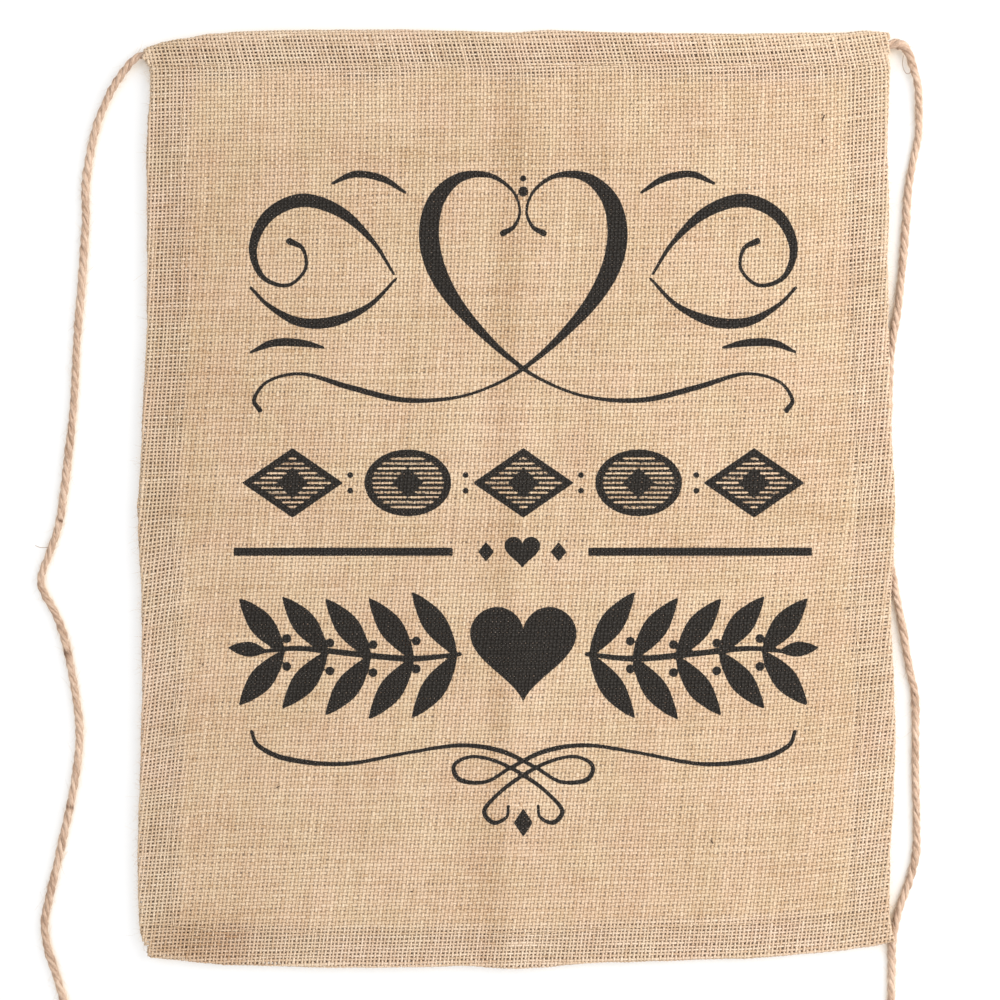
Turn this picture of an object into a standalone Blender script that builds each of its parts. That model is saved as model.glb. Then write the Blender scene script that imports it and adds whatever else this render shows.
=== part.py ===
"""A hemmed hessian banner on a jute cord.

The cloth hangs upright: +X to its right, +Z up, printed face towards -Y.
The origin is on the flat back of the top casing, at the height of the cord
and halfway across.  The cloth has one pressed fold across its middle, and the
cord passes through the casing and leaves a long tail at each side.

Everything below is written in millimetres and built in metres.
"""

import math
from bisect import bisect_right
from collections import namedtuple
from itertools import accumulate

import bmesh
import bpy
from mathutils import Vector

MM = 0.001
GAP = 0.3               # clearance between neighbouring pieces

# ---------------------------------------------------------------- cloth sizes
CLOTH = 1.0             # one ply of hessian
CASING_DEPTH = 6.8      # face to back, the back being at y = 0
FRONT_Y = -CASING_DEPTH             # the printed face
HEM = 20.0              # finished width of the side and bottom hems
HEM_PLIES = 2           # turned-in plies behind the face ply
HEM_FRONT_Y = FRONT_Y + CLOTH + GAP
HEM_BACK_Y = HEM_FRONT_Y + HEM_PLIES * CLOTH

SEAM_Z = -9.0           # bottom of the casing
CREASE_Z = -238.4       # the pressed fold across the middle
CREASE_Y = FRONT_Y - 1.0            # the fold turns about a line just ahead of the face
PANEL_TOP_Z = SEAM_Z - GAP
FOLD_UPPER_Z = CREASE_Z + GAP / 2   # lower end of the upper cloth
FOLD_LOWER_Z = CREASE_Z - GAP / 2   # upper end of the lower cloth

# Side outlines: (height, half width).
LEFT_EDGE = [
    (-9, 199.0), (-60, 199.8), (-145, 200.0), (-205, 202.6), (-244, 205.2),
    (-300, 202.7), (-345, 202.2), (-430, 204.8), (-470, 203.6), (-488, 201.0),
]
RIGHT_EDGE = [
    (-9, 198.0), (-55, 196.6), (-145, 197.6), (-205, 199.4), (-244, 201.4),
    (-300, 199.2), (-370, 201.0), (-430, 198.2), (-488, 199.6),
]
# Top and bottom outlines: (across, height).
TOP_EDGE = [
    (-201, 1.6), (-190, 4.4), (-177, 7.0), (-156, 9.7), (-100, 10.6),
    (-8, 9.4), (50, 9.6), (120, 8.6), (190, 10.0), (198, 8.8),
]
BOTTOM_EDGE = [
    (-203, -479.0), (-199, -486.6), (-158, -490.6), (-90, -492.2), (-26, -491.4),
    (0, -492.8), (50, -489.2), (124, -487.1), (185, -481.0), (199, -479.0),
]
CORNER_Z = BOTTOM_EDGE[0][1]        # where the panel's sides meet its bottom edge

# Spans across the cloth: (left end, right end).
CASING_SPAN = (-200.6, 197.8)
CASING_SEAM_SPAN = (-197.5, 194.8)
PANEL_BOTTOM_SPAN = (-199.5, 197.0)
BOTTOM_HEM_SPAN = (-199.0, 197.0)
BOTTOM_SEAM_SPAN = (-197.0, 194.5)

# Number of divisions along each kind of piece.
UPRIGHT_STEPS = 14      # panel sides, upper hems and upright stitching
LOWER_HEM_STEPS = 13
PANEL_BOTTOM_STEPS = 24
BOTTOM_HEM_STEPS = 30   # also its stitching
CASING_STEPS = 22
CASING_SEAM_STEPS = 12

# ------------------------------------------------------------------ stitching
THREAD_W = 0.7
THREAD_T = 0.4
STITCH_IN = 1.6         # stitch line from the edge of the turned plies
STITCH_INSET = HEM - STITCH_IN      # stitch line from the edge of the cloth
CASING_STITCH_UP = 1.1  # stitch line above the bottom of the casing
GROOVE_W = THREAD_W + 2 * GAP       # the stitches pull down into the turned plies
GROOVE_D = 0.8
UPPER_THREAD_DROP = 0.5     # upper stitching starts this far below the panel's top
LOWER_HEM_CLEAR = 2.4       # lower side hems stop this far above the bottom hem
LOWER_THREAD_SHORT = 1.0    # their stitching stops this much higher

NEEDLE_Y = FRONT_Y - GAP - THREAD_T
GROOVE_THREAD_Y = HEM_BACK_Y - 0.1 - THREAD_T   # just under the hem's back surface

# ----------------------------------------------------------------------- cord
CORD_R = 2.1
CORD_Y = FRONT_Y + CASING_DEPTH / 2     # down the middle of the casing
SURFACE_Y = 1.0                         # the surface behind the banner
TAIL_Y = SURFACE_Y - CORD_R             # where the tails lie against it
SETTLE_START = 6.0      # distance from the mouth where a tail begins to move back
SETTLE_LENGTH = 60.0    # distance it takes to reach the surface
LINK_GAP = 2 * CORD_R + 0.35            # between the end centres of two links
MOUTH_SHORT = 7.0       # the run inside the casing ends this far before the first bend,
                        # so that a tail can turn up beside the casing
TAIL_LENGTH = 566.0
TUBE_SIDES = 8
DOME_RINGS = 2
CURVE_SPACING = 1.0
STUB_SPACING = 2.0
TAIL_SPACING = 9.0

# The cord's line from each casing mouth: (across, height).  Both tails curl out
# and hang down beside the cloth, the right one passing behind its edge.
CORD_LINES = {
    "left": [
        (-201.0, -1.6), (-208.0, -2.9), (-214.6, -14.8), (-225.5, -38.0), (-233.0, -92.0),
        (-236.0, -134.0), (-239.5, -178.0), (-242.6, -222.0), (-248.0, -254.0),
        (-255.0, -273.0), (-258.0, -285.5), (-253.5, -298.0), (-248.0, -311.0),
        (-241.6, -329.0), (-238.3, -348.0), (-238.5, -360.0), (-240.4, -403.0),
        (-251.0, -446.0), (-255.3, -473.0), (-246.0, -510.0), (-240.5, -532.0),
        (-240.0, -560.0),
    ],
    "right": [
        (198.0, 3.2), (206.2, 3.0), (210.8, -4.6), (214.8, -18.0), (214.4, -30.6),
        (212.8, -51.0), (208.6, -78.0), (206.6, -107.0), (203.6, -130.0),
        (201.6, -160.0), (199.4, -190.0), (198.2, -222.0), (199.0, -255.0),
        (201.2, -279.0), (205.0, -297.5), (211.6, -337.0), (213.0, -366.0),
        (212.6, -396.0), (213.8, -425.0), (208.0, -450.0), (202.6, -464.0),
        (200.0, -483.0), (199.0, -510.0), (200.0, -560.0),
    ],
}
# Where the tails bend as the cord is lifted, by distance along each line.
JOINTS = {
    "left": [8.6, 46.0, 252.0, 294.0, 350.0, 486.0],
    "right": [10.6, 34.0, 222.0, 443.0, 482.0],
}

# ------------------------------------------------------------------- finishes
Finish = namedtuple("Finish", "name colour roughness")
HESSIAN = Finish(name="hessian", colour=(0.64, 0.47, 0.29), roughness=0.92)
HEMMED = Finish(name="hessian_hem", colour=(0.56, 0.41, 0.26), roughness=0.92)
JUTE = Finish(name="jute_cord", colour=(0.55, 0.38, 0.25), roughness=0.9)
THREAD = Finish(name="sewing_thread", colour=(0.72, 0.57, 0.39), roughness=0.7)


# ------------------------------------------------------- objects and materials
def material(name, finish):
    made = bpy.data.materials.new(name)
    made.use_nodes = True
    shader = made.node_tree.nodes["Principled BSDF"]
    shader.inputs["Base Color"].default_value = (*finish.colour, 1.0)
    shader.inputs["Roughness"].default_value = finish.roughness
    made.diffuse_color = (*finish.colour, 1.0)
    return made


def frame(name, pivot, parent=None):
    """An empty on a joint's axis; the pieces of one moving body hang from it.

    Its place in the scene, in metres, is kept in its "at" property.
    """
    empty = bpy.data.objects.new(name, None)
    empty.empty_display_size = 0.01
    empty["at"] = [value * MM for value in pivot]
    bpy.context.scene.collection.objects.link(empty)
    empty.location = Vector(empty["at"])
    if parent is not None:
        empty.parent = parent
        empty.location -= Vector(parent["at"])
    return empty


def add(name, bm, finish, parent, smooth=False):
    """Turns a mesh in millimetres into a named object with its origin on its frame."""
    origin = Vector(parent["at"])
    bmesh.ops.recalc_face_normals(bm, faces=bm.faces)
    for vertex in bm.verts:
        vertex.co = vertex.co * MM - origin
    mesh = bpy.data.meshes.new(name)
    bm.to_mesh(mesh)
    bm.free()
    if smooth:
        mesh.shade_smooth()
        mesh.set_sharp_from_angle(angle=math.radians(50))
    mesh.materials.append(material(f"{name}_{finish.name}", finish))
    obj = bpy.data.objects.new(name, mesh)
    bpy.context.scene.collection.objects.link(obj)
    obj.parent = parent


# ------------------------------------------------------------- shape functions
def steps(start, end, count):
    return [start + (end - start) * i / count for i in range(count + 1)]


def along(stations, at):
    """Smooth value between stations, rounded with a cosine so edges stay soft."""
    rising = sorted(stations)
    if at <= rising[0][0]:
        return rising[0][1]
    for (before, low), (after, high) in zip(rising, rising[1:]):
        if at <= after:
            t = (at - before) / (after - before)
            return low + (high - low) * (0.5 * t + 0.25 * (1 - math.cos(math.pi * t)))
    return rising[-1][1]


def left_x(z):
    return -along(LEFT_EDGE, z)


def right_x(z):
    return along(RIGHT_EDGE, z)


def bottom_z(x):
    return along(BOTTOM_EDGE, x)


def join_rings(bm, one, two):
    """A band of quads between two closed rings of vertices."""
    for i in range(len(one)):
        j = (i + 1) % len(one)
        bm.faces.new((one[i], one[j], two[j], two[i]))


def loft(sections):
    """A solid through closed sections of (x, y, z) points, capped at both ends."""
    bm = bmesh.new()
    rings = [[bm.verts.new(point) for point in section] for section in sections]
    for one, two in zip(rings, rings[1:]):
        join_rings(bm, one, two)
    bm.faces.new(rings[0])
    bm.faces.new(list(reversed(rings[-1])))
    return bm


def slab(rows, y_front, y_back):
    """A sheet of even thickness: rows of ((x, z), (x, z)) from one end to the other."""
    return loft([[(xa, y_front, za), (xb, y_front, zb), (xb, y_back, zb), (xa, y_back, za)]
                 for (xa, za), (xb, zb) in rows])


def tube(points):
    """A round cord along the points, closed at both ends with a dome."""
    tangents = []
    for i in range(len(points)):
        before = points[max(i - 1, 0)]
        after = points[min(i + 1, len(points) - 1)]
        tangents.append((after - before).normalized())
    start, end = points[0], points[-1]
    first, last = tangents[0], tangents[-1]

    angles = [math.pi / 2 * (k + 1) / (DOME_RINGS + 1) for k in range(DOME_RINGS)]
    dome = [(CORD_R * math.cos(angle), CORD_R * math.sin(angle)) for angle in angles]
    stations = [(start - first * reach, first, radius) for reach, radius in dome]
    stations += [(point, tangent, CORD_R) for point, tangent in zip(points, tangents)]
    stations += [(end + last * reach, last, radius) for reach, radius in reversed(dome)]

    bm = bmesh.new()
    start_tip = bm.verts.new(start - first * CORD_R)
    turns = [2 * math.pi * (k + 0.5) / TUBE_SIDES for k in range(TUBE_SIDES)]
    side = first.cross(Vector((0, 1, 0))).normalized()
    rings = []
    for centre, tangent, radius in stations:
        # Carried from ring to ring, so that the tube doesn't twist.
        side = (side - tangent * side.dot(tangent)).normalized()
        up = tangent.cross(side)
        rings.append([bm.verts.new(centre + (side * math.cos(turn) + up * math.sin(turn)) * radius)
                      for turn in turns])
    end_tip = bm.verts.new(end + last * CORD_R)

    for one, two in zip(rings, rings[1:]):
        join_rings(bm, one, two)
    for k in range(TUBE_SIDES):
        j = (k + 1) % TUBE_SIDES
        bm.faces.new((rings[0][j], rings[0][k], start_tip))
        bm.faces.new((rings[-1][k], rings[-1][j], end_tip))
    return bm


# ---------------------------------------------------------------- cloth pieces
def upper_panel():
    rows = [((left_x(z), z), (right_x(z), z))
            for z in steps(PANEL_TOP_Z, FOLD_UPPER_Z, UPRIGHT_STEPS)]
    return slab(rows, FRONT_Y, FRONT_Y + CLOTH)


def lower_panel():
    """A front face cut to the outline, then given the cloth's thickness."""
    down = steps(FOLD_LOWER_Z, CORNER_Z, UPRIGHT_STEPS)
    outline = [(left_x(z), z) for z in down]
    outline += [(x, bottom_z(x)) for x in steps(*PANEL_BOTTOM_SPAN, PANEL_BOTTOM_STEPS)]
    outline += [(right_x(z), z) for z in reversed(down)]
    bm = loft([[(x, y, z) for x, z in outline] for y in (FRONT_Y, FRONT_Y + CLOTH)])
    bmesh.ops.triangulate(bm, faces=[face for face in bm.faces if len(face.verts) > 4],
                          ngon_method="EAR_CLIP")
    return bm


def side_hem(side, heights):
    """Turned plies down one side, grooved in the back along the stitch line."""
    near, far = STITCH_IN - GROOVE_W / 2, STITCH_IN + GROOVE_W / 2
    if side == "left":
        near, far = HEM - far, HEM - near
    # (distance from the strip's left edge, y)
    profile = [
        (0, HEM_FRONT_Y), (HEM, HEM_FRONT_Y), (HEM, HEM_BACK_Y), (far, HEM_BACK_Y),
        (far, HEM_BACK_Y - GROOVE_D), (near, HEM_BACK_Y - GROOVE_D), (near, HEM_BACK_Y),
        (0, HEM_BACK_Y),
    ]
    sections = []
    for z in heights:
        strip_x = left_x(z) if side == "left" else right_x(z) - HEM
        sections.append([(strip_x + across, y, z) for across, y in profile])
    bm = loft(sections)
    bmesh.ops.triangulate(bm, faces=bm.faces)
    return bm


def bottom_hem():
    rows = [((x, bottom_z(x) + HEM), (x, bottom_z(x)))
            for x in steps(*BOTTOM_HEM_SPAN, BOTTOM_HEM_STEPS)]
    return slab(rows, HEM_FRONT_Y, HEM_BACK_Y)


BACK_FOOT_Z = -5.0      # lower end of the casing's flat back
PINCH_HEIGHT = 2.6      # height of the two plies pressed together at the seam
BORE_FRONT_FOOT_Z = -5.4    # lower corners of the opening
BORE_BACK_FOOT_Z = -4.45
ARC_STEPS = 8


def casing():
    """The cloth turned back over the cord and stitched down: a flat-backed tube,
    open at both mouths, drawn in to two plies at the seam."""
    half = CASING_DEPTH / 2
    pinch_y = FRONT_Y + 2 * CLOTH

    def arc(radius, centre_z):
        """(y, z) points over the top, from front to back."""
        return [(FRONT_Y + half - radius * math.cos(angle), centre_z + radius * math.sin(angle))
                for angle in steps(0, math.pi, ARC_STEPS)]

    bm = bmesh.new()
    rings = []
    for x in steps(*CASING_SPAN, CASING_STEPS):
        centre_z = along(TOP_EDGE, x) - half
        outer = [
            (FRONT_Y, SEAM_Z), *arc(half, centre_z),
            (FRONT_Y + CASING_DEPTH, BACK_FOOT_Z), (pinch_y, SEAM_Z + PINCH_HEIGHT),
            (pinch_y, SEAM_Z),
        ]
        inner = [
            (FRONT_Y + CLOTH, BORE_FRONT_FOOT_Z), *arc(half - CLOTH, centre_z),
            (FRONT_Y + CASING_DEPTH - CLOTH, BORE_BACK_FOOT_Z),
        ]
        rings.append([[bm.verts.new((x, y, z)) for y, z in loop] for loop in (outer, inner)])
    for (outer_a, inner_a), (outer_b, inner_b) in zip(rings, rings[1:]):
        join_rings(bm, outer_a, outer_b)
        join_rings(bm, inner_a[::-1], inner_b[::-1])
    for mouth in (rings[0], rings[-1]):
        edges = [bm.edges.get((loop[k], loop[(k + 1) % len(loop)]))
                 for loop in mouth for k in range(len(loop))]
        bmesh.ops.bridge_loops(bm, edges=edges)
    bmesh.ops.triangulate(bm, faces=bm.faces)
    return bm


# ------------------------------------------------------------------- stitching
def thread(line, y_near, upright):
    """One row of stitches as a slim strip, either side of its (x, z) line."""
    half = THREAD_W / 2
    if upright:
        rows = [((x - half, z), (x + half, z)) for x, z in line]
    else:
        rows = [((x, z + half), (x, z - half)) for x, z in line]
    return slab(rows, y_near, y_near + THREAD_T)


def add_stitching(seam, line, bobbin_y, parent, upright=False, suffix=""):
    """The needle thread on the face and the bobbin thread behind it."""
    for kind, y in (("needle", NEEDLE_Y), ("bobbin", bobbin_y)):
        add(f"{seam}_{kind}_thread{suffix}", thread(line, y, upright), THREAD, parent)


def add_side_hem(side, part, hem_ends, thread_ends, hem_steps, parent):
    """One length of side hem with its stitching; the ends are (top, bottom) heights."""
    add(f"{side}_hem_{part}", side_hem(side, steps(*hem_ends, hem_steps)), HEMMED, parent)
    heights = steps(*thread_ends, UPRIGHT_STEPS)
    if side == "left":
        line = [(left_x(z) + STITCH_INSET, z) for z in heights]
    else:
        line = [(right_x(z) - STITCH_INSET, z) for z in heights]
    add_stitching(f"{side}_hem", line, GROOVE_THREAD_Y, parent, upright=True, suffix=f"_{part}")


# ------------------------------------------------------------------------ cord
def curve_points(line):
    """A Catmull-Rom curve through the line: close points and their distances along it."""
    points = [Vector((x, 0, z)) for x, z in line]
    padded = [2 * points[0] - points[1], *points, 2 * points[-1] - points[-2]]
    dense = [points[0]]
    for i in range(1, len(padded) - 2):
        p0, p1, p2, p3 = padded[i - 1:i + 3]
        count = max(2, int((p2 - p1).length / CURVE_SPACING))
        for k in range(1, count + 1):
            t = k / count
            dense.append(0.5 * ((2 * p1) + (p2 - p0) * t + (2 * p0 - 5 * p1 + 4 * p2 - p3) * t * t
                                + (3 * p1 - p0 - 3 * p2 + p3) * t ** 3))
    lengths = [(after - before).length for before, after in zip(dense, dense[1:])]
    return dense, list(accumulate(lengths, initial=0.0))


CURVES = {side: curve_points(line) for side, line in CORD_LINES.items()}


def tail_point(side, distance):
    """The tail's centre: at the mouth it is at the cord's depth, then it settles back."""
    dense, distances = CURVES[side]
    on_curve = min(max(distance, 0.0), distances[-1])
    i = min(bisect_right(distances, on_curve) - 1, len(distances) - 2)
    t = (on_curve - distances[i]) / (distances[i + 1] - distances[i])
    point = dense[i].lerp(dense[i + 1], t)
    settled = min(max((distance - SETTLE_START) / SETTLE_LENGTH, 0.0), 1.0)
    settled = settled * settled * (3 - 2 * settled)
    return Vector((point.x, CORD_Y + (TAIL_Y - CORD_Y) * settled, point.z))


def run(side, start, end, spacing):
    count = max(2, math.ceil((end - start) / spacing))
    return [tail_point(side, distance) for distance in steps(start, end, count)]


def cord_in_casing():
    """From short of the first left bend, through the casing, to short of the right one."""
    left, right = (run(side, 0.0, JOINTS[side][0] - MOUTH_SHORT, STUB_SPACING)
                   for side in ("left", "right"))
    straight = [left[0].lerp(right[0], t) for t in (0.25, 0.5, 0.75)]
    return tube(left[::-1] + straight + right)


def add_tail(side, parent):
    """A chain of links, each hanging from the bend at the end of the one before."""
    joints = JOINTS[side]
    ends = [joint - LINK_GAP / 2 for joint in joints[1:]] + [TAIL_LENGTH]
    for number, (joint, end) in enumerate(zip(joints, ends), start=1):
        parent = frame(f"{side}_tail_{number}_frame", tail_point(side, joint), parent)
        link = tube(run(side, joint + LINK_GAP / 2, end, TAIL_SPACING))
        add(f"{side}_tail_{number}", link, JUTE, parent, smooth=True)


# -------------------------------------------------------------------- assembly
for existing in list(bpy.data.objects):
    bpy.data.objects.remove(existing, do_unlink=True)

upper = frame("upper_banner_frame", (0, 0, 0))
lower = frame("lower_banner_frame", (0, CREASE_Y, CREASE_Z), upper)
cord = frame("cord_frame", (tail_point("left", 0) + tail_point("right", 0)) / 2, upper)

add("upper_panel", upper_panel(), HESSIAN, upper)
add("lower_panel", lower_panel(), HESSIAN, lower)
add("bottom_hem", bottom_hem(), HEMMED, lower)
add("top_casing", casing(), HEMMED, upper)

for side, hem_end_x in zip(("left", "right"), BOTTOM_HEM_SPAN):
    add_side_hem(side, "upper", hem_ends=(PANEL_TOP_Z, FOLD_UPPER_Z),
                 thread_ends=(PANEL_TOP_Z - UPPER_THREAD_DROP, FOLD_UPPER_Z),
                 hem_steps=UPRIGHT_STEPS, parent=upper)
    hem_end_z = bottom_z(hem_end_x) + HEM + LOWER_HEM_CLEAR
    add_side_hem(side, "lower", hem_ends=(FOLD_LOWER_Z, hem_end_z),
                 thread_ends=(FOLD_LOWER_Z, hem_end_z + LOWER_THREAD_SHORT),
                 hem_steps=LOWER_HEM_STEPS, parent=lower)

casing_seam = [(x, SEAM_Z + CASING_STITCH_UP)
               for x in steps(*CASING_SEAM_SPAN, CASING_SEAM_STEPS)]
add_stitching("casing_seam", casing_seam, FRONT_Y + 2 * CLOTH + GAP, upper)
bottom_seam = [(x, bottom_z(x) + STITCH_INSET)
               for x in steps(*BOTTOM_SEAM_SPAN, BOTTOM_HEM_STEPS)]
add_stitching("bottom_hem", bottom_seam, HEM_BACK_Y + GAP, lower)

add("cord_in_casing", cord_in_casing(), JUTE, cord, smooth=True)
for side in ("left", "right"):
    add_tail(side, cord)
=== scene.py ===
"""A hemmed hessian banner on a laid jute cord.

The banner hangs upright in the x-z plane, its printed face towards -y and its casing at the
top. The cloth is made as its own yarns: every warp and weft is a tube that goes over and
under, laid out in the flat cloth and then folded round the hems and the casing. Lengths are
millimetres until the meshes are made; the stage, lights and camera are in metres.
"""
import math

import bpy
import numpy as np
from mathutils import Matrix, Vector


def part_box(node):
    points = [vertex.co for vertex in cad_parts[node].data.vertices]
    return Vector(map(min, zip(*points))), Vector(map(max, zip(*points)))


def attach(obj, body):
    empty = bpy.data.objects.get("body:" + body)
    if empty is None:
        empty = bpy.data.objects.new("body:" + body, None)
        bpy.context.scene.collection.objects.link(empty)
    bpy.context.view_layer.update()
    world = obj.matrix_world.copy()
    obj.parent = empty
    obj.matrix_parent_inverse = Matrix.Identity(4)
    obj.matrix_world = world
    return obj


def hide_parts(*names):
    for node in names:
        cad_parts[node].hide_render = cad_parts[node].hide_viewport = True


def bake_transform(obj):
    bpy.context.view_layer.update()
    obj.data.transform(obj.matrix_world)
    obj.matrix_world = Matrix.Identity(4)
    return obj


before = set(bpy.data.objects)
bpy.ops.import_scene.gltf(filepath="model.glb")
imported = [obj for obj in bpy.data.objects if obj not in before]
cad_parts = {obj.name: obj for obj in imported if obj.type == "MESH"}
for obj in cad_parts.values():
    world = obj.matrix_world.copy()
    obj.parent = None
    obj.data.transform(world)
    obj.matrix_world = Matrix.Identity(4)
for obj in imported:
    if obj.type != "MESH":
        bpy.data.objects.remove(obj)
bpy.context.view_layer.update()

MM = 0.001

# --------------------------------------------------------------------- outline
SEAM_Z = -9.0                   # the seam that closes the casing
HEM = 20.0                      # height of a hem
CREASE_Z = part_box("lower_panel")[1].z / MM + 0.15
# (z, half width) of the two sides
LEFT_EDGE = [(-9, 198.4), (-24, 198.4), (-40, 199.9), (-60, 200.2), (-145, 200.0),
             (-205, 202.6), (-228, 203.8), (-244, 205.2), (-300, 202.9), (-345, 202.6),
             (-376, 203.6), (-430, 205.0), (-456, 205.0), (-470, 204.2), (-488, 201.4)]
RIGHT_EDGE = [(-9, 199.2), (-22, 198.5), (-38, 197.9), (-55, 197.4), (-75, 198.4), (-90, 198.3),
              (-112, 197.6), (-145, 198.2), (-205, 199.7), (-244, 201.9), (-300, 199.4),
              (-370, 201.9), (-408, 200.8), (-432, 198.9), (-463, 198.7), (-472, 199.8),
              (-480, 201.8), (-490, 202.5)]
# (x, z) of the top and the bottom
TOP_EDGE = [(-203, 0.9), (-199, 2.8), (-192, 5.0), (-182, 6.9), (-166, 9.5), (-150, 10.7),
            (-118, 11.6), (-70, 11.9), (-37, 11.2), (-5, 10.2), (18, 11.5), (55, 10.2),
            (108, 9.5), (140, 10.0), (172, 10.0), (188, 11.2), (198, 10.4)]
BOTTOM_EDGE = [(-203, -479.5), (-199, -487.8), (-158, -491.4), (-90, -493.1), (-26, -492.2),
               (0, -493.4), (50, -489.9), (124, -487.9), (156, -485.3), (172, -484.0),
               (185, -482.2), (199, -479.8)]

# ------------------------------------------------------------------- the weave
WARP_PITCH, WEFT_PITCH = 2.07, 1.95
WARP_START, WARP_SPAN = -242.0, 535
WEFT_START, WEFT_SPAN = -538.0, 598
RISE = 0.27                     # how far a yarn rises over the one it crosses
FACE_Y, BACK_Y = -6.3, -4.1     # centres of a hem's front and back plies
INNER_RADIUS = 0.525            # of the raw edge's turn inside the hem
TURN_IN = 12.0                  # raw edge turned inside the hem
CASING_RADIUS = 2.9
CASING_BACK_Y = FACE_Y + 2 * CASING_RADIUS
BAND = 5.0                      # half height of the strip that bends at the crease
SIDES = 5                       # of a yarn's section

# ----------------------------------------------------------------------- noise
TABLE = np.random.default_rng(11).uniform(-1.0, 1.0, 1 << 16)


def random_at(index):
    """A fixed random number from -1 to 1 for every whole number."""
    return TABLE[index & 65535]


def noise1(key, x):
    """Smooth noise along x, a different line of it for every key."""
    cell = np.floor(x).astype(np.int64)
    part = x - cell
    part = part * part * (3 - 2 * part)
    low = random_at(key * 7919 + cell * 31 + 17)
    high = random_at(key * 7919 + (cell + 1) * 31 + 17)
    return low + (high - low) * part


def noise2(x, z, key):
    """Smooth noise over a plane."""
    i, j = np.floor(x).astype(np.int64), np.floor(z).astype(np.int64)
    part_x, part_z = x - i, z - j
    part_x = part_x * part_x * (3 - 2 * part_x)
    part_z = part_z * part_z * (3 - 2 * part_z)

    def at(column, row):
        return random_at(column * 73856093 ^ row * 19349663 ^ key * 83492791)

    low = at(i, j) + (at(i + 1, j) - at(i, j)) * part_x
    high = at(i, j + 1) + (at(i + 1, j + 1) - at(i, j + 1)) * part_x
    return low + (high - low) * part_z


def smooth(start, end, x):
    """Goes from 0 to 1 as x goes from start to end."""
    part = np.clip((x - start) / (end - start), 0, 1)
    return part * part * (3 - 2 * part)


def along(stations, at):
    """Values between stations (place, value), part straight and part eased."""
    rows = sorted(stations)
    places = np.array([row[0] for row in rows], float)
    values = np.array([row[1] for row in rows], float)
    i = np.clip(np.searchsorted(places, at, side="right") - 1, 0, len(places) - 2)
    part = np.clip((at - places[i]) / (places[i + 1] - places[i]), 0, 1)
    eased = 0.5 * part + 0.25 * (1 - np.cos(np.pi * part))
    return values[i] + (values[i + 1] - values[i]) * eased


def half_width(side, z):
    """Distance of the left (-1) or right (1) edge from the middle."""
    z = np.asarray(z, float)
    if side < 0:
        return along(LEFT_EDGE, z) + 0.22 * noise1(901, z / 7.0)
    return along(RIGHT_EDGE, z) + 0.22 * noise1(902, z / 7.0)


def bottom_z(x):
    x = np.asarray(x, float)
    return along(BOTTOM_EDGE, x) + 0.22 * noise1(903, x / 8.0)


# ------------------------------------------------- how the cloth is cut and lies
# The cloth is cut off the grain: its warps lean as they go down, and its wefts rise
# towards the right edge. Each slope is given at stations and summed in fine steps.
FINE_STEP = 0.5
LEAN_Z = [-560, -480, -400, -250, -200, -130, -60, -12, -7, 60]
LEAN_SLOPE = [0.125, 0.125, 0.115, 0.10, 0.085, 0.06, 0.035, 0.0, -0.26, -0.26]
RISE_X = [-260, -205, -175, -100, 0, 110, 160, 200, 260]
RISE_SLOPE = [0.09, 0.07, 0.028, 0.018, 0.014, 0.026, 0.09, 0.17, 0.17]
fine_z = np.arange(-560.0, 60.5, FINE_STEP)
fine_x = np.arange(-260.0, 260.5, FINE_STEP)


def summed(fine, places, slopes):
    return np.cumsum(np.interp(fine, places, slopes)) * FINE_STEP


lean = summed(fine_z, LEAN_Z, LEAN_SLOPE)
lean -= np.interp(-12.0, fine_z, lean)
rise = summed(fine_x, RISE_X, RISE_SLOPE)
rise -= np.interp(0.0, fine_x, rise)
left_pull = summed(fine_x, [-260, -190, -160], [0.15, 0.15, 0.0])
left_pull -= left_pull[-1]


def flatten(thread_x, thread_z):
    """Thread coordinates to the flat cloth, closing in on the answer."""
    flat_x, flat_z = thread_x, thread_z
    for _ in range(6):
        flat_x = thread_x + np.interp(flat_z, fine_z, lean)
        flat_z = (thread_z + np.interp(flat_x, fine_x, rise)
                  * (1 - 0.35 * np.exp(-((flat_z - CREASE_Z) / 110) ** 2))
                  + np.interp(flat_x, fine_x, left_pull) * smooth(-232, -285, flat_z)
                  * (1 - smooth(-360, -440, flat_z)))
    return flat_x, flat_z


def crease_x(z):
    """The upright crease of the folded banner drifts to the left as it goes down."""
    return 6.0 + 0.028 * z + 0.8 * noise1(6, z / 60.0)


def relief(x, z):
    """The cloth is pressed nearly flat, with the marks of having been folded."""
    y = 0.42 * noise2(x / 52.0, z / 46.0, 3) + 0.16 * noise2(x / 17.0, z / 19.0, 4)
    y = y * smooth(0, -40, z)
    y += 0.55 * np.exp(-((z - CREASE_Z - 0.6 * noise1(5, x / 30)) / 2.6) ** 2)
    y -= 0.65 * np.exp(-np.abs((x - crease_x(z)) / 7.5) ** 1.5) * smooth(0, -20, z)
    return y


FACE, LEFT, RIGHT, BOTTOM, CASING = range(5)


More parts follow.
